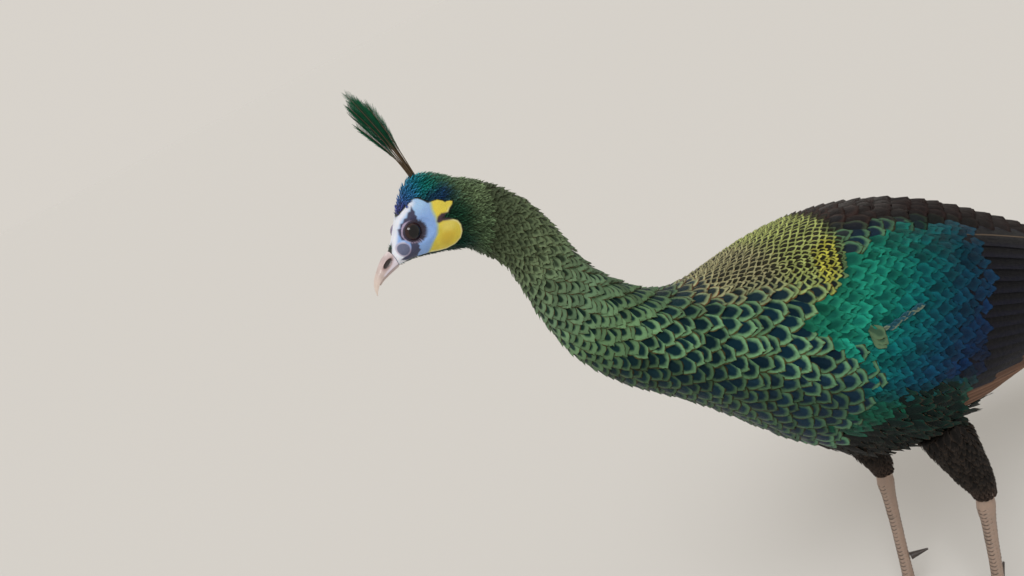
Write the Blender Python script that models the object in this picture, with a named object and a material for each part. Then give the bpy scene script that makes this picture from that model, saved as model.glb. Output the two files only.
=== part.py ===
"""Green peafowl cock, a still life-size model that stands with its closed train laid out behind it.

Metres, +Z up. The bird faces -Y and its left side is at +X. The solids are the outer form of the
plumage, out to the tips of the feathers. Neck, trunk and train are one run of rings, each set
between a point of the back and a point of the throat, breast or belly, parted by thin cuts.
The head, bill, eyes and crest are modelled in the head's own frame and turned with it.
"""

from math import copysign, cos, exp, pi, radians, sin, sqrt

import bmesh
import bpy
from mathutils import Matrix, Vector

# Driving dimensions
GAP = 0.0003
THIGH_CLEARANCE = 0.0006
RING_SIDES = 24
CENTRE_Y = 0.5741
HEAD_PIVOT = Vector((0, -0.3085, 0.7348))
HEAD_TURN = radians(11)
TURN_FADES_AT = 5.0

# The body plan, from the nape to the end of the train. A row holds the point of the back (y, z),
# the point of the throat, breast or belly (y, z), the half width, and how square the ring is.
# A point below the floor gives a flat underside there, because the plumage stops at height 0.
BODY_PLAN = (
    ((-0.2995, 0.7610), (-0.3130, 0.7035), 0.0235, 1.00),  # nape and throat
    ((-0.2720, 0.7415), (-0.3015, 0.6880), 0.0245, 1.00),
    ((-0.2475, 0.7110), (-0.2900, 0.6690), 0.0250, 1.00),
    ((-0.2350, 0.6740), (-0.2880, 0.6500), 0.0260, 1.00),
    ((-0.2275, 0.6430), (-0.2870, 0.6280), 0.0280, 1.00),
    ((-0.2130, 0.6160), (-0.2840, 0.6020), 0.0320, 1.00),
    ((-0.1930, 0.5930), (-0.2760, 0.5700), 0.0370, 1.00),
    ((-0.1720, 0.5760), (-0.2620, 0.5420), 0.0430, 1.00),
    ((-0.1460, 0.5650), (-0.2420, 0.5140), 0.0510, 0.97),
    ((-0.1160, 0.5600), (-0.2160, 0.4870), 0.0610, 0.95),
    ((-0.0800, 0.5600), (-0.1880, 0.4560), 0.0720, 0.92),  # mantle and breast
    ((-0.0400, 0.5600), (-0.1570, 0.4160), 0.0810, 0.90),
    ((0.0060, 0.5540), (-0.1240, 0.3710), 0.0860, 0.88),
    ((0.0520, 0.5400), (-0.0850, 0.3290), 0.0880, 0.88),  # back and belly
    ((0.1020, 0.5160), (-0.0330, 0.2930), 0.0870, 0.88),
    ((0.1540, 0.4800), (0.0350, 0.2760), 0.0820, 0.89),
    ((0.2070, 0.4350), (0.1090, 0.2740), 0.0750, 0.90),
    ((0.2620, 0.3860), (0.1860, 0.2700), 0.0700, 0.92),
    ((0.3230, 0.3320), (0.2700, 0.2440), 0.0700, 0.95),  # rump and vent
    ((0.4000, 0.2730), (0.3700, 0.2040), 0.0760, 0.98),
    ((0.5000, 0.2130), (0.4850, 0.1560), 0.0850, 1.00),
    ((0.6100, 0.1640), (0.6050, 0.1130), 0.0940, 1.00),
    ((0.7300, 0.1230), (0.7300, 0.0770), 0.1020, 1.00),
    ((0.8600, 0.0920), (0.8600, 0.0490), 0.1080, 1.00),
    ((0.9900, 0.0710), (0.9900, 0.0270), 0.1120, 1.00),
    ((1.1100, 0.0580), (1.1100, 0.0110), 0.1130, 1.00),
    ((1.2200, 0.0470), (1.2200, -0.0080), 0.1100, 1.00),
    ((1.3200, 0.0340), (1.3200, -0.0080), 0.1030, 1.00),
    ((1.4200, 0.0170), (1.4200, -0.0060), 0.0920, 1.00),
)
PLUMAGE_ROUGHNESS = 0.55
PLUMAGE_SHEEN = 0.25
# The end of the train: its first row, its rings, the y of its middle tips, how much shorter its
# side feathers are, and the length of the steps between one feather tip and the next
TRAIN_END_ROW = 26.0
TRAIN_END_RINGS = 7
TRAIN_TIP_Y = 1.5240
TRAIN_TIP_ROUNDING = 0.45
TIP_STEP = 0.026

# Wings, as plates over the flanks. WING_LOW_EDGE is in degrees round the body from the back
WING_CLEARANCE = 0.0012
WING_EDGE = 0.0012
WING_LOW_EDGE = 135
WING_ROOM = 0.0165
SHOULDER_ROW, WRIST_ROW, SECONDARY_TIP_ROW, PRIMARY_TIP_ROW = 10.35, 14.0, 17.6, 18.0
ROW_GAP = 0.02
COVERT_DEPTH, SECONDARY_DEPTH, PRIMARY_DEPTH = 0.011, 0.011, 0.010

# The lengths that the rings are cut into: first row, last row, rings, sheen colour of the plumage
BODY_LENGTHS = {
    "neck_upper": (0.0, 3.0, 7, (0.075, 0.115, 0.055)),
    "neck_middle": (3.0, 6.0, 6, (0.055, 0.160, 0.085)),
    "neck_lower": (6.0, 9.0, 6, (0.060, 0.180, 0.085)),
    "breast": (9.0, 12.0, 6, (0.070, 0.185, 0.075)),
    "trunk": (12.0, 15.5, 7, (0.030, 0.070, 0.050)),
    "rump": (15.5, 18.5, 6, (0.050, 0.140, 0.070)),
    "train_root": (18.5, 21.0, 6, (0.080, 0.190, 0.070)),
    "train_front": (21.0, 23.5, 5, (0.090, 0.170, 0.060)),
    "train_middle": (23.5, TRAIN_END_ROW, 5, (0.100, 0.150, 0.060)),
}

# Head stations in its own frame: y, crown z, chin z, half width
HEAD_STATIONS = (
    (-0.0660, 0.0030, -0.0112, 0.0078),
    (-0.0610, 0.0064, -0.0116, 0.0102),
    (-0.0540, 0.0142, -0.0124, 0.0128),
    (-0.0460, 0.0240, -0.0150, 0.0152),
    (-0.0380, 0.0334, -0.0178, 0.0168),
    (-0.0300, 0.0402, -0.0210, 0.0176),
    (-0.0220, 0.0430, -0.0240, 0.0184),
    (-0.0140, 0.0415, -0.0268, 0.0196),
    (-0.0060, 0.0365, -0.0292, 0.0212),
)
HEAD_RINGS = 14
HEAD_NARROWS_UP = 0.30
HEAD_LEANS_BACK = 0.12
# Folds of the head's sides: how far they stand out, their y and z, their length and height
BROW = (0.0010, -0.0440, 0.0178, 0.0100, 0.0036)
LORE = (-0.0014, -0.0580, -0.0010, 0.0060, 0.0060)
EYE_CENTRE = Vector((0.0090, -0.0450, 0.0082))
EYE_RADIUS = 0.0084
CREST_BASE = Vector((0, -0.0190, 0.0425))
CREST_TIP = Vector((0, -0.0335, 0.1050))

# Legs: side, y of the hock, y of the foot
LEGS = {"left": (1, 0.0430, 0.0230), "right": (-1, 0.0150, -0.0100)}
THIGH_COLOUR = (0.030, 0.024, 0.020)
HOCK_X = 0.0560
FOOT_X = 0.0500
HOCK_Z = 0.1900
FOOT_TOP_Z = 0.0260
# Toes: name, heading from straight ahead, length without claw, root radius
TOES = (
    ("inner", 34, 0.0520, 0.0062),
    ("middle", 2, 0.0740, 0.0068),
    ("outer", -32, 0.0560, 0.0060),
    ("hind", 172, 0.0240, 0.0052),
)
TOE_TIP_RADIUS = 0.0040
TOE_ROOT_HALF_WIDTH = 0.0034
HEEL_RADIUS = 0.0125
CLAW_LENGTH = 0.0160


def material(name, colour, roughness, metallic=0.0):
    """A plain finish. The sheen of the iridescent plumage is given as a part of metal."""
    made = bpy.data.materials.new(name)
    made.use_nodes = True
    shader = made.node_tree.nodes["Principled BSDF"]
    shader.inputs["Base Color"].default_value = (*colour, 1)
    shader.inputs["Roughness"].default_value = roughness
    shader.inputs["Metallic"].default_value = metallic
    return made


def add_object(name, mesh_data, look, parent):
    """Recalculate the normals, shade smooth and add one named sub-part under its parent."""
    bmesh.ops.recalc_face_normals(mesh_data, faces=mesh_data.faces)
    mesh = bpy.data.meshes.new(name)
    mesh_data.to_mesh(mesh)
    mesh_data.free()
    mesh.shade_smooth()
    mesh.set_sharp_from_angle(angle=radians(50))
    mesh.materials.append(look)
    thing = bpy.data.objects.new(name, mesh)
    bpy.context.collection.objects.link(thing)
    thing.parent = parent
    return thing


def add_empty(name, location, parent=None, turn=0.0):
    thing = bpy.data.objects.new(name, None)
    bpy.context.collection.objects.link(thing)
    thing.location = location
    thing.rotation_euler.z = turn
    thing.parent = parent
    return thing


def cut(target, tool):
    """Let one object cut another, and keep it only as a tool."""
    step = target.modifiers.new(tool.name, "BOOLEAN")
    step.operation = "DIFFERENCE"
    step.solver = "EXACT"
    step.object = tool
    tool.hide_render = True
    tool.display_type = "WIRE"


def smooth_between(rows, place):
    """Read a table of rows at a fractional row number, on a smooth curve through the rows."""
    low = min(int(place), len(rows) - 2)
    part = place - low
    before, start, end, after = (
        rows[min(max(low + step, 0), len(rows) - 1)] for step in (-1, 0, 1, 2)
    )
    return [
        b + 0.5 * part * (c - a + part * (2 * a - 5 * b + 4 * c - d + part * (3 * (b - c) + d - a)))
        for a, b, c, d in zip(before, start, end, after)
    ]


def ease(value):
    value = min(max(value, 0), 1)
    return value * value * (3 - 2 * value)


BODY_ROWS = [(*back, *front, width, square) for back, front, width, square in BODY_PLAN]


def body_point(row, angle):
    """A point of the plumage: angle 0 is the midline of the back, pi the breast and belly."""
    back_y, back_z, front_y, front_z, width, square = smooth_between(BODY_ROWS, row)
    up = copysign(abs(cos(angle)) ** square, cos(angle))
    out = copysign(abs(sin(angle)) ** square, sin(angle))
    point = Vector(
        (
            width * out,
            (back_y + front_y + (back_y - front_y) * up) / 2,
            max((back_z + front_z + (back_z - front_z) * up) / 2, 0),
        )
    )
    turn = HEAD_TURN * (1 - ease(row / TURN_FADES_AT))
    return HEAD_PIVOT + Matrix.Rotation(turn, 3, "Z") @ (point - HEAD_PIVOT)


def body_normal(row, angle):
    step = 0.02
    along = body_point(row + step, angle) - body_point(row - step, angle)
    around = body_point(row, angle + step) - body_point(row, angle - step)
    return around.cross(along).normalized()


def body_ring(row, shift=0.0, swell=None):
    """One ring of the body, moved along it by shift, and outwards by swell, a function of angle."""
    centre = (body_point(row, 0) + body_point(row, pi)) / 2
    ahead = (body_point(row + 0.05, 0) + body_point(row + 0.05, pi)) / 2
    along = (ahead - centre).normalized()
    ring = []
    for side in range(RING_SIDES):
        angle = 2 * pi * side / RING_SIDES
        point = body_point(row, angle) + along * shift
        ring.append(point + body_normal(row, angle) * swell(angle) if swell else point)
    return ring


def loft(rings, close_start=True, close_end=True):
    """Skin a list of rings that have the same number of points."""
    shell = bmesh.new()
    loops = [[shell.verts.new(point) for point in ring] for ring in rings]
    for front, rear in zip(loops, loops[1:]):
        count = len(front)
        for side in range(count):
            after = (side + 1) % count
            shell.faces.new((front[side], front[after], rear[after], rear[side]))
    if close_start:
        shell.faces.new(loops[0])
    if close_end:
        shell.faces.new(loops[-1][::-1])
    return shell


def ring_rows(name):
    """The fractional rows of the body plan at which one length of the body has its rings."""
    first, last, count, _ = BODY_LENGTHS[name]
    return [first + (last - first) * place / (count - 1) for place in range(count)]


def add_body_lengths(parent):
    for name, (first, last, _, colour) in BODY_LENGTHS.items():
        rings = [
            body_ring(row, GAP / 2 * ((row == first) - (row == last))) for row in ring_rows(name)
        ]
        look = material(name, colour, PLUMAGE_ROUGHNESS, PLUMAGE_SHEEN)
        add_object(name, loft(rings), look, parent)


def add_train_end(parent):
    """The last length of the train, whose long feathers end in steps at the tips."""
    half = RING_SIDES // 2
    last_row = len(BODY_PLAN) - 1
    start_y = BODY_PLAN[int(TRAIN_END_ROW)][0][0]
    rings = []
    for place in range(TRAIN_END_RINGS):
        part = place / (TRAIN_END_RINGS - 1)
        ring = []
        for side in range(RING_SIDES):
            angle = 2 * pi * side / RING_SIDES
            column = min(side % half, half - side % half)
            reach = (TRAIN_TIP_Y - start_y) * sqrt(1 - TRAIN_TIP_ROUNDING * sin(angle) ** 2)
            reach += TIP_STEP * (column % 2) * part**3
            point = body_point(TRAIN_END_ROW + part * (last_row - TRAIN_END_ROW), angle)
            point.y = start_y + GAP / 2 + reach * part
            ring.append(point)
        rings.append(ring)
    shell = loft(rings, close_end=False)
    close_in_strips(shell, half)
    look = material("train_end", (0.090, 0.130, 0.050), PLUMAGE_ROUGHNESS, PLUMAGE_SHEEN)
    add_object("train_end", shell, look, parent)


def close_in_strips(shell, half):
    """Close the last ring of a loft with strips from its upper half down to its lower half."""
    shell.verts.ensure_lookup_table()
    loop = list(shell.verts)[-2 * half:]
    for mirrored in (1, -1):
        for side in range(half // 2):
            corners = [side, side + 1, half - side - 1, half - side]
            if side + 1 == half // 2:
                corners.remove(half - side - 1)
            shell.faces.new([loop[mirrored * corner] for corner in corners])


def plate(lower, upper):
    """Close two grids of points, laid one over the other, into one thin plate."""
    shell = bmesh.new()
    last_row, last_column = len(lower) - 1, len(lower[0]) - 1
    sheets = [[[shell.verts.new(point) for point in row] for row in grid] for grid in (lower, upper)]
    for place in range(last_row):
        for column in range(last_column):
            for sheet in sheets:
                near, far = sheet[place], sheet[place + 1]
                shell.faces.new((near[column], near[column + 1], far[column + 1], far[column]))
    rim = [(0, column) for column in range(last_column)]
    rim += [(place, last_column) for place in range(last_row)]
    rim += [(last_row, column) for column in range(last_column, 0, -1)]
    rim += [(place, 0) for place in range(last_row, 0, -1)]
    for (row, column), (next_row, next_column) in zip(rim, rim[1:] + rim[:1]):
        bottom, top = sheets
        shell.faces.new(
            (
                top[row][column],
                top[next_row][next_column],
                bottom[next_row][next_column],
                bottom[row][column],
            )
        )
    return shell


def underside_height(y):
    """Height of the underside of the train on the midline, at a place along the bird."""
    low, high = 17.0, 24.0
    for _ in range(30):
        middle = (low + high) / 2
        if body_point(middle, pi).y < y:
            low = middle
        else:
            high = middle
    return body_point(low, pi).z


def add_tail(parent):
    """The true tail, a flat fan of stiff feathers that lies under the root of the train."""
    start_y, length, half_spread, thickness = 0.345, 0.300, 0.075, 0.0045
    rows, columns, tip_step, drop = 5, 12, 0.012, 0.0066
    lower, upper = [], []
    for place in range(rows):
        part = place / (rows - 1)
        line = []
        for column in range(columns + 1):
            across = 2 * column / columns - 1
            reach = length * sqrt(1 - 0.3 * across * across) - tip_step * (column % 2)
            y = start_y + reach * part
            z = underside_height(y) - drop * (1 - 0.55 * across * across)
            line.append(Vector((across * half_spread * (0.55 + 0.45 * part), y, z)))
        upper.append(line)
        lower.append([point - Vector((0, 0, thickness)) for point in line])
    look = material("tail", (0.060, 0.045, 0.040), 0.6)
    add_object("tail", plate(lower, upper), look, parent)


def wing_plate(side, rows, columns, first_row, last_row, top_angle, low_angle, thickness, tip_step):
    """A curved plate on the flank. The angles of its edges and its thickness are functions of
    the part, 0 to 1, of the way along it, and tip_step draws its rear edge out into feather tips."""
    inner, outer = [], []
    for place in range(rows):
        part = place / (rows - 1)
        top, low = top_angle(part), low_angle(part)
        inner_line, outer_line = [], []
        for column in range(columns + 1):
            across = column / columns
            from_middle = abs(2 * across - 1)
            angle = radians(top + (low - top) * across)
            row = first_row + (last_row - first_row) * part
            row += tip_step * (column % 2 - 0.8 * from_middle) * part**2
            point, normal = body_point(row, angle), body_normal(row, angle)
            swell = WING_EDGE + thickness(part) * sqrt(1 - from_middle**3)
            for line, depth in ((inner_line, 0), (outer_line, swell)):
                placed = point + normal * (WING_CLEARANCE + depth)
                line.append(Vector((placed.x * side, placed.y, placed.z)))
        inner.append(inner_line)
        outer.append(outer_line)
    return plate(inner, outer)


def add_wing(side_name, side, parent):
    """Shoulder with its coverts, secondaries behind it, and primaries along the lower edge."""
    gap_angle = 0.6
    covert_low, secondary_low, taper = WING_LOW_EDGE - 2, WING_LOW_EDGE - 14, 6
    coverts = wing_plate(
        side, 9, 8, SHOULDER_ROW, WRIST_ROW,
        lambda part: 92 - 52 * ease(part * 1.3),
        lambda part: 104 + (covert_low - 104) * ease(part * 1.5),
        lambda part: COVERT_DEPTH * sqrt(ease(part * 3) + 0.02), 0,
    )
    secondaries = wing_plate(
        side, 8, 8, WRIST_ROW + ROW_GAP, SECONDARY_TIP_ROW,
        lambda part: 40 - taper * part,
        lambda part: secondary_low - taper * part,
        lambda part: SECONDARY_DEPTH - 0.008 * part, 0.35,
    )
    primaries = wing_plate(
        side, 8, 4, WRIST_ROW + ROW_GAP, PRIMARY_TIP_ROW,
        lambda part: secondary_low + gap_angle - taper * part,
        lambda part: WING_LOW_EDGE - 8 * part,
        lambda part: PRIMARY_DEPTH - 0.007 * part, 0.30,
    )
    for name, shell, colour, roughness, sheen in (
        ("coverts", coverts, (0.010, 0.090, 0.120), 0.40, 0.35),
        ("secondaries", secondaries, (0.025, 0.022, 0.040), 0.45, 0.20),
        ("primaries", primaries, (0.250, 0.120, 0.060), 0.60, 0.0),
    ):
        node = f"wing_{side_name}_{name}"
        add_object(node, shell, material(node, colour, roughness, sheen), parent)


def fold_height(y, z, fold):
    """How far a fold of the skin stands out at a place on the side of the head."""
    stands_out, middle_y, middle_z, length, height = fold
    return stands_out * exp(-(((y - middle_y) / length) ** 2) - ((z - middle_z) / height) ** 2)


def add_head(parent):
    rings = []
    neck = [
        Matrix.Rotation(-HEAD_TURN, 3, "Z") @ (point - HEAD_PIVOT)
        for point in body_ring(0.0, -GAP / 2)
    ]
    for place in range(HEAD_RINGS):
        station = (len(HEAD_STATIONS) - 1) * place / (HEAD_RINGS - 1)
        y, crown, chin, width = smooth_between(HEAD_STATIONS, station)
        middle, half = (crown + chin) / 2, (crown - chin) / 2
        blend = ease((station - 5.5) / 2.5)
        ring = []
        for side in range(RING_SIDES):
            angle = 2 * pi * side / RING_SIDES
            up, out = cos(angle), sin(angle)
            narrow = 1 - HEAD_NARROWS_UP * (1 - blend) * up
            z = middle + half * up
            folds = fold_height(y, z, BROW) + fold_height(y, z, LORE)
            x = width * narrow * out + copysign(folds * min(abs(out) * 3, 1), out)
            ring.append(Vector((x, y + HEAD_LEANS_BACK * blend * half * up, z)))
        rings.append(ring)
    rings.append(neck)
    look = material("head", (0.330, 0.520, 0.800), 0.6)
    head = add_object("head", loft(rings), look, parent)
    for side_name, side in (("left", 1), ("right", -1)):
        centre = Vector((EYE_CENTRE.x * side, EYE_CENTRE.y, EYE_CENTRE.z))
        eye_look = material(f"eye_{side_name}", (0.020, 0.010, 0.008), 0.08)
        for name, radius, look in (
            (f"eye_{side_name}", EYE_RADIUS, eye_look),
            (f"socket_{side_name}", EYE_RADIUS + GAP, head.data.materials[0]),
        ):
            ball = bmesh.new()
            bmesh.ops.create_uvsphere(ball, u_segments=14, v_segments=8, radius=radius)
            thing = add_object(name, ball, look, parent)
            thing.location = centre
            thing.rotation_euler.y = pi / 2
            if name.startswith("socket"):
                cut(head, thing)


def bill_ring(y, outer, mouth, width, sides=14):
    """Half-round section of one half of the bill, flat along the mouth line."""
    ring = []
    for side in range(sides):
        angle = pi * side / (sides - 1)
        out = copysign(abs(cos(angle)) ** 0.9, cos(angle))
        ring.append(Vector((width * out, y, mouth + (outer - mouth) * abs(sin(angle)) ** 0.85)))
    return ring


def add_bill(parent):
    horn = (0.560, 0.430, 0.400)
    # y, culmen z, mouth z, half width
    upper = (
        (-0.0663, 0.0028, -0.0082, 0.0072),
        (-0.0720, 0.0012, -0.0090, 0.0064),
        (-0.0775, -0.0020, -0.0103, 0.0055),
        (-0.0825, -0.0056, -0.0122, 0.0046),
        (-0.0865, -0.0093, -0.0146, 0.0036),
        (-0.0893, -0.0132, -0.0176, 0.0026),
        (-0.0908, -0.0172, -0.0203, 0.0015),
        (-0.0913, -0.0212, -0.0220, 0.0007),
    )
    # y, chin z, mouth z, half width
    lower = (
        (-0.0663, -0.0115, -0.0085, 0.0066),
        (-0.0720, -0.0124, -0.0093, 0.0058),
        (-0.0775, -0.0135, -0.0106, 0.0048),
        (-0.0820, -0.0147, -0.0125, 0.0034),
        (-0.0850, -0.0163, -0.0148, 0.0018),
    )
    for name, rows in (("bill_upper", upper), ("bill_lower", lower)):
        rings = []
        for y, outer, mouth, width in rows:
            rings.append(bill_ring(y, outer, mouth, width))
        shell = loft(rings)
        bmesh.ops.remove_doubles(shell, verts=shell.verts, dist=0.00001)
        add_object(name, shell, material(name, horn, 0.45), parent)


def add_crest(parent):
    """The tall narrow crest: bare stalks below, broad vanes that fork into tips above."""
    # part of the height, half width fore and aft, half width side to side
    rows = (
        (0.00, 0.0034, 0.0034),
        (0.15, 0.0030, 0.0032),
        (0.35, 0.0036, 0.0036),
        (0.55, 0.0052, 0.0042),
        (0.72, 0.0080, 0.0054),
        (0.88, 0.0098, 0.0060),
        (1.00, 0.0088, 0.0052),
    )
    sides = 16
    rise = CREST_TIP - CREST_BASE
    rings = []
    for part, fore, across in rows:
        centre = CREST_BASE + rise * part
        ring = []
        for side in range(sides):
            angle = 2 * pi * side / sides
            tip = 0.010 * (side % 4 == 0) * part**8 + 0.006 * part**8 * max(-cos(angle), 0)
            ring.append(
                centre + Vector((across * sin(angle), fore * cos(angle), tip))
            )
        rings.append(ring)
    shell = loft(rings, close_end=False)
    shell.verts.ensure_lookup_table()
    loop = list(shell.verts)[-sides:]
    hub = shell.verts.new(CREST_TIP - rise * 0.06)
    for side in range(sides):
        shell.faces.new((loop[side], loop[(side + 1) % sides], hub))
    # The foot of the crest stands on the crown
    bmesh.ops.translate(shell, verts=shell.verts, vec=(0, 0, GAP + 0.0005))
    add_object("crest", shell, material("crest", (0.015, 0.075, 0.045), 0.6), parent)


def limb_ring(centre, radius_x, radius_y, sides=16):
    return [
        centre
        + Vector((radius_x * sin(2 * pi * side / sides), radius_y * cos(2 * pi * side / sides), 0))
        for side in range(sides)
    ]


def room_over_thigh(angle):
    """Depth over the flank that the thigh keeps clear of: the wing lies over it down to its edge."""
    under_wing = cos(angle) > cos(radians(WING_LOW_EDGE + 10))
    return WING_ROOM if under_wing else THIGH_CLEARANCE


def add_belly_cutter(parent):
    """The trunk and the room for its wings, which the thighs are cut by."""
    rows = sorted({row for name in ("breast", "trunk", "rump") for row in ring_rows(name)})
    rings = [body_ring(row, swell=room_over_thigh) for row in rows]
    look = material("belly_cutter", THIGH_COLOUR, 0.7)
    return add_object("belly_cutter", loft(rings), look, parent)


def add_thigh(side_name, side, hock_y, cutter, parent):
    # offset behind the hock, height, half width across, half width fore and aft
    rows = (
        (-0.030, 0.365, 0.018, 0.025),
        (-0.028, 0.345, 0.026, 0.033),
        (-0.027, 0.320, 0.028, 0.035),
        (-0.022, 0.290, 0.025, 0.030),
        (-0.013, 0.255, 0.0215, 0.0240),
        (-0.005, 0.222, 0.0180, 0.0190),
        (0.000, 0.203, 0.0150, 0.0160),
        (0.001, HOCK_Z, 0.0124, 0.0134),
    )
    rings = []
    for back, height, across, fore in rows:
        centre = Vector((side * HOCK_X, hock_y + back, height))
        rings.append(limb_ring(centre, across, fore))
    look = material(f"thigh_{side_name}", THIGH_COLOUR, 0.7)
    thigh = add_object(f"thigh_{side_name}", loft(rings), look, parent)
    cut(thigh, cutter)


def add_shank(side_name, side, hock_y, foot_y, parent):
    # part of the way up, half width across, half width fore and aft
    rows = (
        (0.00, 0.0078, 0.0082),
        (0.08, 0.0068, 0.0070),
        (0.30, 0.0060, 0.0066),
        (0.60, 0.0060, 0.0070),
        (0.82, 0.0070, 0.0084),
        (0.93, 0.0086, 0.0108),
        (1.00, 0.0080, 0.0098),
    )
    top_z = HOCK_Z - GAP
    rings = []
    for part, across, fore in rows:
        centre = Vector(
            (
                side * (FOOT_X + (HOCK_X - FOOT_X) * part),
                foot_y + (hock_y - foot_y) * part,
                FOOT_TOP_Z + GAP + (top_z - FOOT_TOP_Z - GAP) * part,
            )
        )
        rings.append(limb_ring(centre, across, fore, 14))
    look = material(f"shank_{side_name}", (0.230, 0.215, 0.200), 0.6)
    add_object(f"shank_{side_name}", loft(rings), look, parent)


def add_spur(side_name, side, hock_y, foot_y, parent):
    """A blunt horny cone behind and inside the shank."""
    part, length, radius, sides = 0.27, 0.022, 0.0046, 12
    z = FOOT_TOP_Z + (HOCK_Z - FOOT_TOP_Z) * part
    shank_y = foot_y + (hock_y - foot_y) * part
    shank_x = side * (FOOT_X + (HOCK_X - FOOT_X) * part)
    spur = bmesh.new()
    bmesh.ops.create_cone(
        spur, cap_ends=True, segments=sides, radius1=radius, radius2=0.0011, depth=length,
        matrix=Matrix.Translation((0, 0, length / 2)),
    )
    look = material(f"spur_{side_name}", (0.200, 0.180, 0.150), 0.5)
    thing = add_object(f"spur_{side_name}", spur, look, parent)
    heading = Vector((-side * 0.45, 0.89, 0.10)).normalized()
    thing.rotation_mode = "QUATERNION"
    thing.rotation_quaternion = heading.to_track_quat("Z", "Y")
    thing.location = Vector((shank_x, shank_y, z)) + heading * (0.0073 + GAP)


def toe_rings(length, root_radius):
    """Rings of a toe along -Y, with a pad under each joint and a flat sole at height 0."""
    count, sides = 8, 10
    start = HEEL_RADIUS + GAP
    rings = []
    for place in range(count):
        part = place / (count - 1)
        radius = root_radius + (TOE_TIP_RADIUS - root_radius) * part
        radius *= 1 + 0.10 * cos(part * 3 * 2 * pi)
        height = radius * 1.9 + 0.005 * (1 - ease(part * 2.2))
        if place == 0:
            radius = TOE_ROOT_HALF_WIDTH
        ring = []
        for side in range(sides):
            angle = 2 * pi * side / sides
            z = height * 0.5 * (1 + 1.25 * cos(angle))
            ring.append(Vector((radius * sin(angle), -start - (length - start) * part, max(z, 0))))
        rings.append(ring)
    return rings


def add_foot(side_name, side, foot_y, parent):
    grey = material(f"foot_{side_name}", (0.210, 0.200, 0.190), 0.65)
    base = add_empty(f"foot_{side_name}_place", (side * FOOT_X, foot_y, 0), parent)
    # height and radius of the heel that the toes spread from
    rows = (
        (0.0000, 0.0100),
        (0.0035, HEEL_RADIUS),
        (0.0120, HEEL_RADIUS),
        (0.0200, 0.0092),
        (FOOT_TOP_Z, 0.0080),
    )
    rings = [limb_ring(Vector((0, 0, height)), radius, radius, 14) for height, radius in rows]
    add_object(f"foot_{side_name}", loft(rings), grey, base)
    for name, heading, length, radius in TOES:
        turn = radians(heading) * -side
        toe = add_object(f"toe_{name}_{side_name}", loft(toe_rings(length, radius)), grey, base)
        toe.rotation_euler.z = turn
        add_claw(f"claw_{name}_{side_name}", turn, length, base)


def add_claw(name, turn, toe_length, base):
    """A curved claw that carries on from the end of the toe down to the floor."""
    sides, count = 8, 5
    rings = []
    for place in range(count):
        part = place / (count - 1)
        radius = 0.0031 * (1 - part) ** 0.7 + 0.0004
        y = -(toe_length + GAP + CLAW_LENGTH * sin(part * 1.25) / sin(1.25))
        z = 0.0004 + radius + 0.0028 * cos(part * 1.45)
        ring = []
        for side in range(sides):
            angle = 2 * pi * side / sides
            ring.append(Vector((radius * 0.8 * sin(angle), y, z + radius * cos(angle))))
        rings.append(ring)
    claw = add_object(name, loft(rings), material(name, (0.085, 0.075, 0.065), 0.4), base)
    claw.rotation_euler.z = turn


def main():
    for thing in list(bpy.data.objects):
        bpy.data.objects.remove(thing)
    bird = add_empty("peafowl_place", (0, -CENTRE_Y, 0))
    head_place = add_empty("head_place", HEAD_PIVOT, bird, HEAD_TURN)
    add_body_lengths(bird)
    add_train_end(bird)
    add_tail(bird)
    add_head(head_place)
    add_bill(head_place)
    add_crest(head_place)
    belly = add_belly_cutter(bird)
    for side_name, (side, hock_y, foot_y) in LEGS.items():
        add_wing(side_name, side, bird)
        add_thigh(side_name, side, hock_y, belly, bird)
        add_shank(side_name, side, hock_y, foot_y, bird)
        add_spur(side_name, side, hock_y, foot_y, bird)
        add_foot(side_name, side, foot_y, bird)


main()
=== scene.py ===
"""Looks of the green peafowl cock: bare face, bill, scaly neck, glossy wings, dark legs and closed train.

The solids of the frame give every place. Their outer faces are read once as a smooth form, and
skin and feathers are laid on it, so that each feather follows the curve of the body under it.
A place on the form is (p, a). p counts the cuts between the solids from the nape (0) to the train's
end (10), with the bill's root at -1. a is the angle round the body in turns: 0 on the back, 0.25 on
the left, 0.5 on the belly.
"""

from math import cos, pi, radians, sin

import bmesh
import bpy
import numpy as np
from mathutils import Matrix, Vector
from mathutils.bvhtree import BVHTree


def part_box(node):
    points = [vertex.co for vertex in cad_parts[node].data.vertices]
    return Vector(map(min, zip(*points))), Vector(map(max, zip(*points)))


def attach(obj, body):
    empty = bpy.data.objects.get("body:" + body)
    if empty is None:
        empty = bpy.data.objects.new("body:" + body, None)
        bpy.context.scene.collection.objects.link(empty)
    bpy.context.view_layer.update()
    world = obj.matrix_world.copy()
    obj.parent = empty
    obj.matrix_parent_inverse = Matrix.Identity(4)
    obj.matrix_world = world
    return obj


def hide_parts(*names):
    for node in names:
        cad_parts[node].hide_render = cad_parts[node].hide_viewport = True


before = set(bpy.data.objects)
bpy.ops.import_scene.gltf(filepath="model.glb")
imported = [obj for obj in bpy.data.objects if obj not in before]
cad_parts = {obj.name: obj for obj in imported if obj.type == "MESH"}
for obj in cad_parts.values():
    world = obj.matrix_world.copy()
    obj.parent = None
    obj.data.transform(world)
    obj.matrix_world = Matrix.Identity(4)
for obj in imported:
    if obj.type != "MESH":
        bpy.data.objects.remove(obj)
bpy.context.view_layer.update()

# ---- Form of the bird ----
# The plumage lies close and has one smooth outer face from the bill to the end of the train. It is
# read round the axis of the bird, which runs through the middles of the cuts between the solids.
LENGTHS = ["head", "neck_upper", "neck_middle", "neck_lower", "breast", "trunk", "rump",
           "train_root", "train_front", "train_middle", "train_end"]
PAIR = ("left", "right")
CUT_WIDTH = 0.0006
STEPS, SIDES = 64, 192
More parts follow.
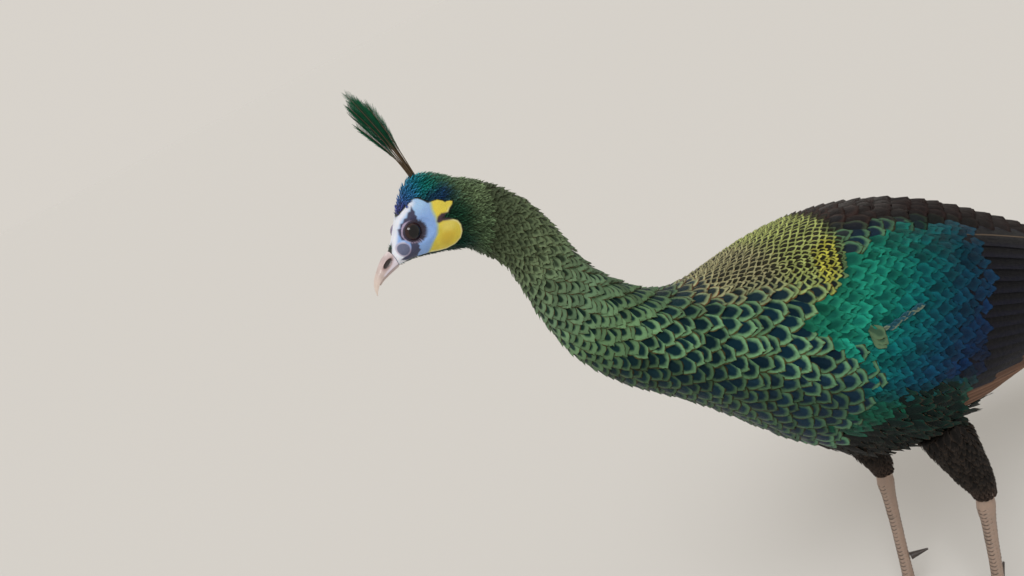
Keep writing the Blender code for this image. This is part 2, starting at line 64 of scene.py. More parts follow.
OFF_CUTS = 0.006
TAIL_TIPS = 0.16
FIRST, LAST = -1.0, 10.8


def node_mesh(name):
    """The corners and triangles of a node, with its doubled corners merged."""
    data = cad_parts[name].data
    corners = np.array([v.co for v in data.vertices])
    merged, back = np.unique(corners.round(6), axis=0, return_inverse=True)
    data.calc_loop_triangles()
    triangles = np.array([t.vertices for t in data.loop_triangles])
    return merged, back.ravel()[triangles]


def joined_nodes(names):
    """The corners and triangles of some nodes together."""
    meshes = [node_mesh(name) for name in names]
    starts = np.cumsum([0] + [len(corners) for corners, _ in meshes])
    triangles = [faces + start for (_, faces), start in zip(meshes, starts)]
    return np.concatenate([corners for corners, _ in meshes]), np.concatenate(triangles)


def unit(vectors):
    return vectors / np.maximum(np.linalg.norm(vectors, axis=-1, keepdims=True), 1e-12)


def ring_frame(front, rear):
    """Middle of the cut between two lengths, its direction to the left, and its direction to the back."""
    a, b = node_mesh(front)[0], node_mesh(rear)[0]
    ring = a[np.linalg.norm(a[:, None] - b[None], axis=2).min(1) < CUT_WIDTH]
    middle = ring.mean(0)
    axes = np.linalg.svd(ring - middle)[2]
    left = axes[np.argmax(abs(axes[:, 0]))]
    left = left * np.sign(left[0])
    back = [axis for axis in axes[:2] if abs(axis @ left) < 0.5][0]
    return middle, left, back * np.sign(back[2])


def smooth_steps(values, low, part):
    """Catmull-Rom curve through rows of values, at row numbers low + part."""
    a, b, c, d = (values[np.clip(low + step, 0, len(values) - 1)] for step in (-1, 0, 1, 2))
    part = part[:, None]
    return b + 0.5 * part * (c - a + part * (2 * a - 5 * b + 4 * c - d + part * (3 * (b - c) + d - a)))


eyes = {side: sum(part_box(f"eye_{side}"), Vector()) / 2 for side in PAIR}
head_left = unit(np.array(eyes["left"] - eyes["right"]))
head_up = np.array((0.0, 0.0, 1.0))
head_back = np.cross(head_up, head_left)
head_middle = np.array(eyes["left"] + eyes["right"]) / 2
head_points = node_mesh("head")[0]
to_back = (head_points - head_middle) @ head_back
bill_ring = head_points[to_back < to_back.min() + CUT_WIDTH / 2]
rear_points = node_mesh("train_end")[0]
tail_middle = rear_points[rear_points[:, 1] > rear_points[:, 1].max() - TAIL_TIPS].mean(0)

frames = [(bill_ring.mean(0), head_left, head_up)]
frames += [ring_frame(*pair) for pair in zip(LENGTHS, LENGTHS[1:])]
for beyond in (0, TAIL_TIPS):
    frames.append((tail_middle + (0, beyond, 0), np.array((1.0, 0, 0)), np.array((0, 0, 1.0))))
middles, lefts, backs = (np.array(column) for column in zip(*frames))


def axis_at(p):
    """Middle, left and back directions of the slices through the bird at places p."""
    row = np.clip(np.asarray(p, float) + 1, 0, len(frames) - 1)
    low = np.minimum(row.astype(int), len(frames) - 2)
    part = row - low
    middle = smooth_steps(middles, low, part)
    left = unit(lefts[low] + (lefts[low + 1] - lefts[low]) * part[:, None])
    back = backs[low] + (backs[low + 1] - backs[low]) * part[:, None]
    back = unit(back - (back * left).sum(1)[:, None] * left)
    return middle, left, back


def blur(values, width, axis, wrap):
    """Gaussian smoothing of a grid along one axis. A wrapped axis runs round the body."""
    reach = int(3 * width) + 1
    weights = np.exp(-0.5 * (np.arange(-reach, reach + 1) / width) ** 2)
    padding = [(0, 0)] * values.ndim
    padding[axis] = (reach, reach)
    padded = np.pad(values, padding, mode="wrap" if wrap else "edge")
    total = sum(
        weight * np.take(padded, range(k, k + values.shape[axis]), axis=axis)
        for k, weight in enumerate(weights)
    )
    return total / weights.sum()


def outer_face(names, first, last, axis=axis_at, steps=STEPS, along=2.0, around=3.0, reach=0.3):
    """Rows of points on the outer face of some solids, read round an axis and smoothed."""
    corners, triangles = joined_nodes(names)
    tree = BVHTree.FromPolygons(corners.tolist(), triangles.tolist())
    middle, left, back = axis(np.linspace(first, last, int((last - first) * steps) + 1) + OFF_CUTS)
    turns = 2 * pi * np.arange(SIDES) / SIDES
    outward = back[:, None] * np.cos(turns)[None, :, None] + left[:, None] * np.sin(turns)[None, :, None]
    radii = np.full(outward.shape[:2], np.nan)
    for i, j in np.ndindex(radii.shape):
        way = Vector(outward[i, j])
        hit = tree.ray_cast(Vector(middle[i]) + way * reach, -way)
        if hit[0] is not None:
            radii[i, j] = reach - hit[3]
    for k, row in enumerate(radii):
        seen = np.flatnonzero(~np.isnan(row))
        row[:] = np.interp(np.arange(SIDES), seen, row[seen], period=SIDES) if len(seen) else radii[k - 1]
    radii = blur(blur(radii, along, 0, False), around, 1, True)
    return middle[:, None] + outward * radii[..., None]


class Form:
    """A smooth closed face given by rows of points, the first at place `first`, the last at `last`."""

    def __init__(self, points, first, last):
        self.points, self.first, self.last = points, first, last
        self.steps, self.sides = (len(points) - 1) / (last - first), points.shape[1]
        self.ahead = np.gradient(points, 1 / self.steps, axis=0)
        self.round = (np.roll(points, -1, 1) - np.roll(points, 1, 1)) * self.sides / 2
        self.normals = unit(np.cross(self.round, self.ahead))
        outward = points - points.mean(1, keepdims=True)
        self.normals *= np.sign((self.normals * outward).sum(2).mean())

    def look_up(self, grid, p, a):
        """Reads a grid at places (p, a) between its points."""
        row = np.clip((np.asarray(p) - self.first) * self.steps, 0, len(grid) - 1.001)
        turn = (np.asarray(a) % 1.0) * self.sides
        i, j = row.astype(int), turn.astype(int) % self.sides
        u, v = (row - i)[..., None], (turn - np.floor(turn))[..., None]
        k = (j + 1) % self.sides
        near, far = (grid[i, side] * (1 - u) + grid[i + 1, side] * u for side in (j, k))
        return near * (1 - v) + far * v

    def point(self, p, a):
        return self.look_up(self.points, p, a)

    def normal(self, p, a):
        return unit(self.look_up(self.normals, p, a))


WING_NODES = [f"wing_{side}_{part}" for side in PAIR for part in ("coverts", "secondaries", "primaries")]
plumage_nodes = LENGTHS + [f"eye_{side}" for side in PAIR]
body = Form(outer_face(plumage_nodes, FIRST, LAST), FIRST, LAST)
outer = Form(outer_face(plumage_nodes + WING_NODES, FIRST, LAST), FIRST, LAST)


# ---- Markings ----
# Colours of the plumage at each place of the body. The skin under it takes them too, darkened as painted
# shade in the gaps between the feathers.
# They change along the bird with p and from the back to the belly with t, alike on either side.
def ease(value):
    """A smooth rise from 0 to 1."""
    value = np.clip(value, 0, 1)
    return value * value * (3 - 2 * value)


def tone(red, green, blue):
    """A colour given as a paint chip, 0 to 255, in the linear numbers that shaders use."""
    chip = np.array((red, green, blue)) / 255
    return np.where(chip > 0.04045, ((chip + 0.055) / 1.055) ** 2.4, chip / 12.92)


def lay(base, colour, part):
    """Lays a colour over others where part is 1."""
    part = np.asarray(part)[..., None]
    return base * (1 - part) + np.asarray(colour) * part


def ladder(values, *steps):
    """Reads sizes from a ladder of (value, size) steps, or colours from (value, red, green, blue) ones."""
    at = [step[0] for step in steps]
    if len(steps[0]) == 2:
        return np.interp(values, at, [step[1] for step in steps])
    colours = np.array([tone(*step[1:]) for step in steps])
    return np.stack([np.interp(values, at, channel) for channel in colours.T], -1)


def from_back(a):
    """t of places round the body, 0 on the back and 1 on the belly."""
    turn = np.asarray(a) % 1.0
    return 2 * np.minimum(turn, 1 - turn)


def mantle_part(p, t):
    """The small golden scales of the mantle, which end in front of the wing."""
    rear = 3.93 - 0.5 * (t - 0.2)
    return ease((p - 2.45) / 0.5) * ease((0.335 + 0.10 * (p - 3.3) - t) / 0.16) * ease((rear - p) / 0.12)


def mark(colours, p, t, back, belly, under):
    """Lays the colours of the dark lower back, the belly and the under side of the tail over others."""
    part = ease((p - 3.86) / 0.12) * ease((0.17 + 0.05 * (p - 4) - t) / 0.08) * ease((5.6 - p) / 0.4)
    colours = lay(colours, back, part)
    colours = lay(colours, belly, ease((p - 4.25) / 0.3) * ease((t - 0.55) / 0.12) * ease((6.6 - p) / 0.5))
    return lay(colours, under, ease((p - 4.6) / 0.3) * ease((t - 0.78) / 0.15) * ease((7.0 - p) / 0.5))


def tip_colours(p, a):
    """Colour of the broad bright edge of a feather."""
    t = from_back(a)
    colours = ladder(p, (-0.3, 52, 84, 52), (0.25, 76, 88, 64), (0.9, 114, 132, 98), (1.5, 116, 148, 114),
                     (2.0, 116, 154, 110), (2.5, 120, 164, 120), (3.6, 122, 172, 126), (4.18, 106, 160, 122),
                     (4.42, 30, 96, 72), (5.2, 26, 70, 52), (6.2, 86, 128, 54), (7.0, 110, 126, 48),
                     (8.2, 104, 104, 52))
    neck_shade = 0.42 * ease((0.34 - t) / 0.12) * ease((p - 1.0) / 0.5)
    # painted shade: the breast's feathers darken towards its lower side, where shade falls
    breast_painted_shade = 0.62 * ease((t - 0.52) / 0.16) * ease((p - 1.8) / 0.7)
    colours = colours * (1 - (neck_shade + breast_painted_shade) * ease((4.2 - p) / 0.2))[..., None]
    golden = lay(tone(172, 170, 128), tone(184, 198, 118), ease((p - 3.25) / 0.3))
    brightest = 1 - np.hypot((p - 3.84) / 0.16, (t - 0.23) / 0.09)
    golden = lay(golden, tone(222, 222, 96), ease(brightest / 0.35 + 0.5))
    colours = lay(colours, golden, mantle_part(p, t))
    return mark(colours, p, t, lay(tone(60, 46, 42), tone(38, 25, 24), ease((p - 4.0) / 0.3)),
                lay(tone(30, 84, 66), tone(6, 46, 40), ease((p - 4.35) / 0.4)), tone(34, 30, 30))


def heart_colours(p, a):
    """Colour of the dark middle of a feather."""
    t = from_back(a)
    colours = ladder(p, (-0.3, 18, 48, 34), (0.25, 66, 78, 56), (0.8, 62, 74, 54), (1.2, 30, 52, 42),
                     (1.6, 20, 50, 48), (2.4, 14, 46, 54), (4.2, 12, 44, 66), (4.5, 12, 54, 48),
                     (5.2, 16, 34, 34), (6.2, 40, 62, 32), (8.2, 56, 50, 26))
    colours = lay(colours, tone(50, 50, 36), mantle_part(p, t))
    return mark(colours, p, t, tone(22, 13, 14), tone(6, 30, 28), tone(22, 18, 18))


# ---- Skin ----
# One skin covers head, neck, trunk, thighs, shanks and toes. It is bare on the face, where blue,
# white and yellow skin is finely grained and folds into lids round the eyes, and bare again below
# the hock. Everywhere else it lies under the plumage by the plumage's depth.
# The outlines are places on the side of the head in millimetres, to the back and up from the eye.
FACE = 0.001 * np.array((
    (-24.0, -12.0), (-23.0, -8.4), (-20.5, -6.6), (-16.9, -2.6), (-12.5, 2.6), (-7.7, 8.6), (-2.4, 13.8),
    (2.8, 16.6), (10.7, 20.0), (14.0, 20.6), (16.4, 19.4), (18.7, 16.6), (20.7, 12.9), (24.1, 12.3),
    (28.5, 11.3), (31.5, 8.6), (32.6, 6.6), (35.5, 6.8), (38.0, 4.6), (36.6, 2.8), (33.3, 1.3), (30.4, -1.0),
    (27.4, -1.6), (23.6, -2.6), (27.6, -5.0), (31.6, -7.6), (34.3, -10.6), (35.4, -14.9), (34.6, -20.4),
    (31.8, -25.0), (26.4, -27.4), (18.6, -27.2), (11.4, -24.8), (5.4, -22.2), (0.4, -20.6), (-4.9, -19.2),
    (-9.6, -18.0), (-14.7, -17.2), (-20.6, -17.6), (-24.0, -17.0),
))
BROW_STRIPE = 0.001 * np.array((
    (-10.4, -1.6), (-9.2, 2.6), (-7.4, 6.1), (-6.2, 6.0), (-4.1, 8.8), (-2.6, 8.9), (-0.2, 11.1), (1.6, 11.0),
    (4.5, 13.9), (6.4, 14.0), (9.4, 17.2), (8.6, 14.4), (8.8, 12.3), (7.6, 10.6), (7.9, 8.4), (6.8, 7.4),
    (7.0, 4.6), (0.0, 0.0), (-8.0, -3.0),
))
EYE_PATCH = 0.001 * np.array((
    (-1.0, 7.9), (3.9, 7.8), (7.0, 6.4), (9.0, 4.3), (10.4, 1.2), (10.6, -2.0), (9.2, -5.2), (6.8, -8.0),
    (3.6, -9.2), (0.6, -9.9), (-2.8, -9.4), (-5.0, -7.6), (0.0, 0.0),
))
EAR_NOTCH = 0.001 * np.array((
    (18.6, -2.6), (21.4, 0.4), (25.4, 1.2), (30.0, -0.6), (33.0, -3.6), (33.6, -8.4), (28.6, -6.8),
    (23.4, -4.6), (19.6, -4.4),
))
UNDER_EYE = 0.001 * np.array((
    (-6.4, -5.4), (-2.6, -8.7), (-1.8, -11.4), (-3.0, -12.8), (-2.2, -15.0), (-4.7, -16.4), (-5.6, -18.8),
    (-9.4, -18.2), (-14.8, -16.8), (-18.9, -14.2), (-15.5, -13.3), (-11.7, -12.4), (-8.4, -9.7),
))
SEAM_UP = (-0.0220, -0.0155, -0.0111, -0.0053, 0.0, 0.0071, 0.0118)
SEAM_BACK = (0.0040, 0.0095, 0.0156, 0.0192, 0.0208, 0.0217, 0.0239)
JAW_UP, JAW_HALF, FACE_REAR = -0.014, 0.0045, 0.06
LID_LENGTH, LID_HEIGHT, LID_THICK, LID_REACH = 0.0076, 0.0073, 0.0005, 0.022
LID_GAP, LID_SINK, FOLD_DEPTH, FOLD_STEP = 0.0003, 0.0016, 0.00014, 0.15
EYE_RADIUS = (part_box("eye_left")[1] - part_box("eye_left")[0]).z / 2
BLUE_SKIN, WHITE_SKIN, YELLOW_SKIN = tone(136, 174, 232), tone(226, 230, 242), tone(226, 206, 72)
LORE_SKIN, LID_SKIN, DARK_SKIN = tone(92, 98, 128), tone(44, 36, 56), tone(44, 44, 78)
RING_SKIN, EAR_SKIN, LEG_SKIN = tone(164, 148, 176), tone(62, 38, 54), tone(158, 136, 122)


def head_places(points):
    """Places in the head's own frame: to the left, to the back and up from between the eyes."""
    offset = points - head_middle
    return offset @ head_left, offset @ head_back, offset @ head_up


def inside(outline, x, y):
    """Distance inside a closed outline, negative outside it."""
    place = np.stack((x, y), -1)[..., None, :]
    start, end = outline, np.roll(outline, -1, 0)
    edge = end - start
    part = np.clip(((place - start) * edge).sum(-1) / (edge * edge).sum(-1), 0, 1)
    gap = np.linalg.norm(place - start - part[..., None] * edge, axis=-1).min(-1)
    px, py = place[..., 0], place[..., 1]
    crosses = (start[:, 1] > py) != (end[:, 1] > py)
    rise = np.where(edge[:, 1] == 0, 1e-9, edge[:, 1])
    left_of = px < start[:, 0] + (py - start[:, 1]) * edge[:, 0] / rise
    return np.where((crosses & left_of).sum(-1) % 2 == 1, gap, -gap)


def oval(x, y, middle, long, high, tilt=0.0):
    """Distance from the middle of an oval, 1 on its rim."""
    dx, dy = x - middle[0], y - middle[1]
    c, s = cos(radians(tilt)), sin(radians(tilt))
    return np.hypot((dx * c + dy * s) / long, (dy * c - dx * s) / high)


def bare(points):
    """How far a place lies inside the bare face, negative where feathers grow."""
    left, rear, up = head_places(points)
    beside = np.where(up < JAW_UP, abs(left) - JAW_HALF, 1.0)
    return np.where(rear < FACE_REAR, np.minimum(inside(FACE, rear, up), beside), -1.0)


def lid_places(points):
    """Distance from the middle of the nearer eye's opening, 1 on its edge, first by direction from the
    eye and then as seen from the side, the turn round it, and whether the place is near an eye."""
    offsets = points[..., None, :] - np.array([eyes[side] for side in PAIR])
    reach = np.linalg.norm(offsets, axis=-1)
    nearer = reach.argmin(-1)[..., None]
    from_eye = np.take_along_axis(offsets, nearer[..., None], -2)[..., 0, :]
    rear, up = from_eye @ head_back, from_eye @ head_up
    scale = (EYE_RADIUS + LID_THICK) / reach.min(-1)
    sideways = (from_eye @ head_left) * np.where(nearer[..., 0] == 0, 1, -1)
    near = (sideways > 0) & (reach.min(-1) < LID_REACH)
    plain = np.where(near, oval(rear, up, (0, 0), LID_LENGTH, LID_HEIGHT), 9.0)
    return plain * np.minimum(scale, 9), np.maximum(plain * scale, plain), np.arctan2(up, rear), near


def face_colours(points):
    """Colours of the bare face, laid over each other from the pale blue ground to the lids."""
    _, rear, up = head_places(points)
    _, lid, around, _ = lid_places(points)
    lid_rim = ease((1.22 - lid) / 0.05) * ease((lid - 1.09) / 0.04)
    front = np.interp(rear, FACE[1:10, 0], FACE[1:10, 1])
    band = ease((0.0050 - (front - up)) / 0.0035) * ease((0.0150 - rear) / 0.006)
    gape = ease((-0.0085 - rear) / 0.003) * ease((-0.0015 - up) / 0.003)
    behind = rear - np.interp(up, SEAM_UP, SEAM_BACK)
    warm, rim = ease(behind / 0.0022 + 0.5), ease((0.0018 - bare(points)) / 0.0010)
    lore = oval(rear, up, (-0.0133, -0.0082), 0.0044, 0.0050, -20)

    def within(outline, soft=0.0006):
        return ease(inside(outline, rear, up) / (2 * soft) + 0.5)

    colours = BLUE_SKIN
    for colour, part in (
        # the blue is whitest along its front edge and down to the gape
        (tone(158, 196, 236), ease((up - 0.004) / 0.012) * ease((0.024 - rear) / 0.006)),
        (WHITE_SKIN, np.maximum(band, gape)),
        # yellow behind the seam, greenish along it
        (tone(190, 200, 120), ease(behind / 0.004 + 0.9)),
        (YELLOW_SKIN, warm),
        (tone(238, 226, 120), 0.5 * warm * ease(1.5 - oval(rear, up, (0.026, -0.010), 0.006, 0.005))),
        (tone(214, 176, 44), 0.5 * warm * ease(1.4 - oval(rear, up, (0.022, -0.018), 0.007, 0.006))),
        (tone(236, 230, 168), 0.7 * warm * rim * ease((0.004 - up) / 0.004)),
        # dark triangle in front of the eye, dark patch below it, grey lore patch with a pale rim
        (DARK_SKIN, within(BROW_STRIPE)),
        (tone(58, 62, 92), within(UNDER_EYE)),
        (RING_SKIN, 0.6 * ease((1.20 - lore) / 0.16)),
        (LORE_SKIN, ease((1.02 - lore) / 0.20)),
        (LID_SKIN, within(EYE_PATCH)),
        (EAR_SKIN, within(EAR_NOTCH, 0.0009)),
        # lids: dark, with a pale pink rim that runs round the front of the eye
        (LID_SKIN, ease((1.12 - lid) / 0.08 + 0.5)),
        (RING_SKIN, lid_rim * ease(0.8 - 1.1 * np.cos(around - 0.2))),
    ):
        colours = lay(colours, colour, part)
    return colours


def coat_depth(p, points):
    """How deep the skin lies under the outer face of the plumage."""
    depth = ladder(p, (-1, 0.0010), (-0.3, 0.0016), (0.3, 0.0030), (1.5, 0.0042), (4, 0.0075), (7, 0.0085))
    return depth * ease(-bare(points) / 0.004 + 0.25)


def open_lids(points):
    """Shapes the skin round each eye into a lid with a raised edge, open over the eyeball."""
    near = lid_places(points)[3]
    for side, centre in eyes.items():
        way = head_left * (1 if side == "left" else -1)
        mine = near & ((points - head_middle) @ way > 0)
        from_eye = points[mine] - np.array(centre)
        reach = np.linalg.norm(from_eye, axis=-1)
        measure, beyond = lid_places(points[mine])[:2]
        folds = FOLD_DEPTH * np.sin((beyond - 1) * 2 * pi / FOLD_STEP) * ease((1.55 - beyond) / 0.4)
        rim = EYE_RADIUS + LID_THICK
        pushed = np.maximum(reach, EYE_RADIUS + LID_GAP) + folds
        pushed = pushed + (rim - pushed) * ease((1.14 - measure) / 0.10) * ease((1.50 - beyond) / 0.20)
        pushed = pushed + (EYE_RADIUS - LID_SINK - pushed) * ease((1.01 - measure) / 0.07)
        points[mine] = np.array(centre) + from_eye * (pushed / reach)[:, None]
    return points


def new_object(name, points, faces):
    """An object with a smooth mesh from arrays of corners and of triangles or quads."""
    mesh = bpy.data.meshes.new(name)
    faces = [np.asarray(f, np.int32) for f in faces]
    mesh.vertices.add(len(points))
    mesh.vertices.foreach_set("co", np.asarray(points, np.float32).ravel())
    sizes = np.concatenate([np.full(len(f), f.shape[1], np.int32) for f in faces])
    mesh.loops.add(int(sizes.sum()))
    mesh.loops.foreach_set("vertex_index", np.concatenate([f.ravel() for f in faces]))
    mesh.polygons.add(len(sizes))
    mesh.polygons.foreach_set("loop_start", np.concatenate(([0], np.cumsum(sizes)[:-1])).astype(np.int32))
    mesh.polygons.foreach_set("use_smooth", np.ones(len(sizes), bool))
    mesh.update(calc_edges=True)
    mesh.validate()
    thing = bpy.data.objects.new(name, mesh)
    bpy.context.scene.collection.objects.link(thing)
    return thing


def put_colours(mesh, name, colours):
    """Stores a colour for each corner of a mesh."""
    layer = mesh.color_attributes.new(name, "FLOAT_COLOR", "POINT")
    rgba = np.ones((len(mesh.vertices), 4), np.float32)
    rgba[:, :3] = colours
    layer.data.foreach_set("color", rgba.ravel())


def face_outward(mesh):
    """Turns all faces of a closed mesh outward."""
    shape = bmesh.new()
    shape.from_mesh(mesh)
    bmesh.ops.recalc_face_normals(shape, faces=shape.faces)
    shape.to_mesh(mesh)
    shape.free()


def hand_in(thing, material, slot, *nodes):
    """Gives a piece its look, hangs it under the root and hides the nodes it stands for. Its slot is not
    used.
    """
    thing.data.materials.clear()
    thing.data.materials.append(material)
    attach(thing, "root")
    if nodes:
        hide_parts(*nodes)


def grid_faces(rows, columns, closed=False, start=0):
    """Quads between rows of corners."""
    i = np.arange(rows - 1)[:, None] * columns
    j = np.arange(columns if closed else columns - 1)[None]
    k = (j + 1) % columns
    quads = np.stack((i + j, i + k, i + columns + k, i + columns + j), -1)
    return quads.reshape(-1, 4) + start


def closed_tube(grid):
    """Corners and faces of a tube through rings of points, closed by a fan at either end."""
    rows, sides = grid.shape[:2]
    ring, last = np.arange(sides), (rows - 1) * sides
    after, hub = np.roll(ring, -1), np.full(sides, rows * sides)
    caps = np.vstack((np.stack((hub, after, ring), -1), np.stack((hub + 1, last + ring, last + after), -1)))
    return np.vstack((grid.reshape(-1, 3), grid[[0, -1]].mean(1))), [grid_faces(rows, sides, True), caps]


def stitch(front, rear, front_count, rear_count):
    """Triangles between two rings of which the front one has a multiple of the rear one's corners."""
    ratio, faces = front_count // rear_count, []
    for j in range(rear_count):
        here, after = rear + j, rear + (j + 1) % rear_count
        fan = [front + (j * ratio + k) % front_count for k in range(ratio + 1)]
        for k in range(ratio):
            faces.append((fan[k], fan[k + 1], here if k < ratio / 2 else after))
        faces.append((here, fan[ratio // 2], after))
    return faces


# rings from the bill's root to the rump, finest on the face
rings = [(p, 256) for p in np.linspace(-1, -0.02, 178)] + [(p, 128) for p in np.linspace(0.0, 0.9, 30)]
rings += [(p, 64) for p in np.linspace(0.95, 6.6, 110)]
counts = [count for _, count in rings]
starts = np.cumsum([0] + counts)
places = np.concatenate([np.full(count, p) for p, count in rings])
turns = np.concatenate([np.arange(count) / count for count in counts])
quads, triangles = [], []
for start, after, count, next_count in zip(starts, starts[1:], counts, counts[1:]):
    if count == next_count:
        quads.append(grid_faces(2, count, True, start))
    else:
        triangles += stitch(start, after, count, next_count)
points = body.point(places, turns)
skin_points = open_lids(points - body.normal(places, turns) * coat_depth(places, points)[:, None])
hubs = []
for first, count, turn in ((0, counts[0], 1), (starts[-2], counts[-1], -1)):
    ring = first + np.arange(count)
    triangles += np.stack((np.full(count, len(places) + len(hubs)), np.roll(ring, -turn), ring), -1).tolist()
    hubs.append(skin_points[ring].mean(0))
skin = new_object("skin", np.vstack((skin_points, hubs)), [np.concatenate(quads), np.array(triangles)])
face = ease(bare(points) / 0.0008 + 0.5)
# under the plumage the skin is its feathers' heart colour darkened, as painted shade between the feathers
skin_colours = lay(0.35 * heart_colours(places, turns), face_colours(skin_points), face)
put_colours(skin.data, "tint", np.vstack((skin_colours, np.full((2, 3), 0.1))))

THIGH_COAT = 0.006
SCALE_GRAIN = 0.0012
THIGH_ROWS, THIGH_SIDES = 30, 28


def settled(thing):
    """Replaces an object's mesh by what its modifiers make of it, and removes them."""
    bpy.context.view_layer.update()
    graph = bpy.context.evaluated_depsgraph_get()
    shaped = thing.evaluated_get(graph)
    mesh = bpy.data.meshes.new_from_object(shaped, preserve_all_data_layers=True, depsgraph=graph)
    thing.modifiers.clear()
    thing.data = mesh
    return thing


def thigh_tube(side):
    """Rings of a tube under the thigh's feathers, from inside the top of the shank to inside the trunk."""
    corners, triangles = node_mesh(f"thigh_{side}")
    tree = BVHTree.FromPolygons(corners.tolist(), triangles.tolist())
    low, high = corners.min(0), corners.max(0)
    height = high[2] - low[2]
    hock = corners[corners[:, 2] < low[2] + 0.001].mean(0)
    top = corners[corners[:, 2] > high[2] - 0.45 * height]
    lean = (top[:, 1].max() + top[:, 1].min()) / 2 - hock[1]
    outside = 1 if side == "left" else -1
    rings = []
    for rise in np.linspace(-0.09, 1.32, THIGH_ROWS) * height:
        part = rise / height
        seen = np.clip(rise, 0.0005, 0.7 * height)
        middle = Vector((hock[0], hock[1] + lean * ease(part / 0.7), low[2] + seen))
        above = ease((part - 0.7) / 0.6)
        shrink = (1 - 0.20 * ease((0.18 - part) / 0.18)) * (1 - 0.45 * ease((0.02 - part) / 0.11))
        shrink = shrink * (1 - 0.35 * above)
        ring = []
        for turn in 2 * pi * np.arange(THIGH_SIDES) / THIGH_SIDES:
            way = Vector((outside * abs(sin(turn)), cos(turn), 0))
            hit = tree.ray_cast(middle + way * 0.2, -way)
            reach = (0.2 - hit[3] - THIGH_COAT * ease(part / 0.3)) * shrink
            x = middle.x * (1 - 0.25 * above) + reach * sin(turn)
            ring.append((x, middle.y + reach * cos(turn), low[2] + rise))
        rings.append(ring)
    return np.array(rings)


TOES = ["toe_inner", "toe_middle", "toe_outer", "toe_hind"]
LOWER_LEG = ["shank", "foot"] + TOES
limbs = []
for side in PAIR:
    limbs.append(new_object(f"thigh_tube_{side}", *closed_tube(thigh_tube(side))))
    corners, faces = joined_nodes([f"{part}_{side}" for part in LOWER_LEG])
    foot = new_object(f"lower_leg_{side}", corners, [faces])
    remesh = foot.modifiers.new("close", "REMESH")
    remesh.mode = "VOXEL"
    remesh.voxel_size = SCALE_GRAIN
    remesh.use_smooth_shade = True
    smooth = foot.modifiers.new("smooth", "SMOOTH")
    smooth.factor, smooth.iterations = 0.5, 4
    limbs.append(settled(foot))
for limb in limbs:
    put_colours(limb.data, "tint", LEG_SKIN)
    face_outward(limb.data)
    union = skin.modifiers.new(limb.name, "BOOLEAN")
    union.operation, union.solver, union.object = "UNION", "MANIFOLD", limb
settled(skin)
for limb in limbs:
    bpy.data.objects.remove(limb)
# the thighs are painted dark under their feathers, as painted shade, and so are the corners that the union
# made new
tints = np.empty((len(skin.data.vertices), 4), np.float32)
heights = np.array([v.co.z for v in skin.data.vertices])
skin.data.color_attributes["tint"].data.foreach_get("color", tints.ravel())
feathered = ease((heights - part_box("thigh_left")[0].z - 0.004) / 0.008)
on_limb = (abs(tints[:, :3] - LEG_SKIN).max(1) < 0.01) & (heights > 0.15)
untinted = (tints[:, :3].min(1) > 0.99) | on_limb
tints[untinted, :3] = lay(LEG_SKIN, tone(30, 24, 22), feathered[untinted])
skin.data.color_attributes["tint"].data.foreach_set("color", tints.ravel())


class Tree:
    """The nodes of a material or of a shader node group, with short ways to add to them."""

    def __init__(self, tree):
        self.nodes, self.links = tree.nodes, tree.links

    def put(self, socket, value):
        """Gives an input another node's output, a number or a colour."""
        if isinstance(value, bpy.types.NodeSocket):
            self.links.new(value, socket)
        else:
            socket.default_value = (*value, 1) if socket.type == "RGBA" else value

    def node(self, kind, **given):
        """A shader node with its settings and its inputs given by name."""
        node = self.nodes.new(f"ShaderNode{kind}")
        for name, value in given.items():
            if hasattr(node, name):
                setattr(node, name, value)
            else:
                self.put(node.inputs[name.replace("_", " ")], value)
        return node

    def sum(self, operation, *values, clamp=False):
        """A sum of numbers."""
        node = self.node("Math", operation=operation, use_clamp=clamp)
        for socket, value in zip(node.inputs, values):
            self.put(socket, value)
        return node.outputs[0]

    def mix(self, part, first, second, kind="MIX"):
        """A mix of two colours."""
        node = self.node("Mix", data_type="RGBA", blend_type=kind)
        for at, value in ((0, part), (6, first), (7, second)):
            self.put(node.inputs[at], value)
        return node.outputs[2]

    def step(self, value, low, high):
        """0 below low, 1 above high, smooth between them."""
        return self.node("MapRange", interpolation_type="SMOOTHSTEP", Value=value, From_Min=low,
                         From_Max=high).outputs["Result"]

    def noise(self, scale, detail=3.0):
        """Noise fixed to the object's own places."""
        solid = self.node("TexCoord").outputs["Object"]
        return self.node("TexNoise", Scale=scale, Detail=detail, Vector=solid).outputs["Fac"]

    def stored(self, name):
        """The colours stored on the mesh by this name."""
        return self.node("Attribute", attribute_name=name).outputs["Color"]

    def map_places(self, name):
        """Both places on a map of the mesh."""
        return self.node("SeparateXYZ", Vector=self.node("UVMap", uv_map=name).outputs[0]).outputs[:2]

    def bump(self, height, distance, strength=1.0):
        bump = self.node("Bump", Strength=strength, Distance=distance, Height=height)
        return bump.outputs["Normal"]


def new_group(name, inputs, outputs):
    """A shader node group with plain inputs: its tree, its inputs by name, and its end to put outputs in."""
    group = bpy.data.node_groups.new(name, "ShaderNodeTree")
    for socket, default in inputs.items():
        made = group.interface.new_socket(socket, in_out="INPUT", socket_type="NodeSocketFloat")
        made.default_value = default
    for socket in outputs:
        kind = "NodeSocketVector" if socket == "Normal" else "NodeSocketFloat"
        group.interface.new_socket(socket, in_out="OUTPUT", socket_type=kind)
    start, end = (group.nodes.new(kind) for kind in ("NodeGroupInput", "NodeGroupOutput"))
    return group, Tree(group), start.outputs, end.inputs


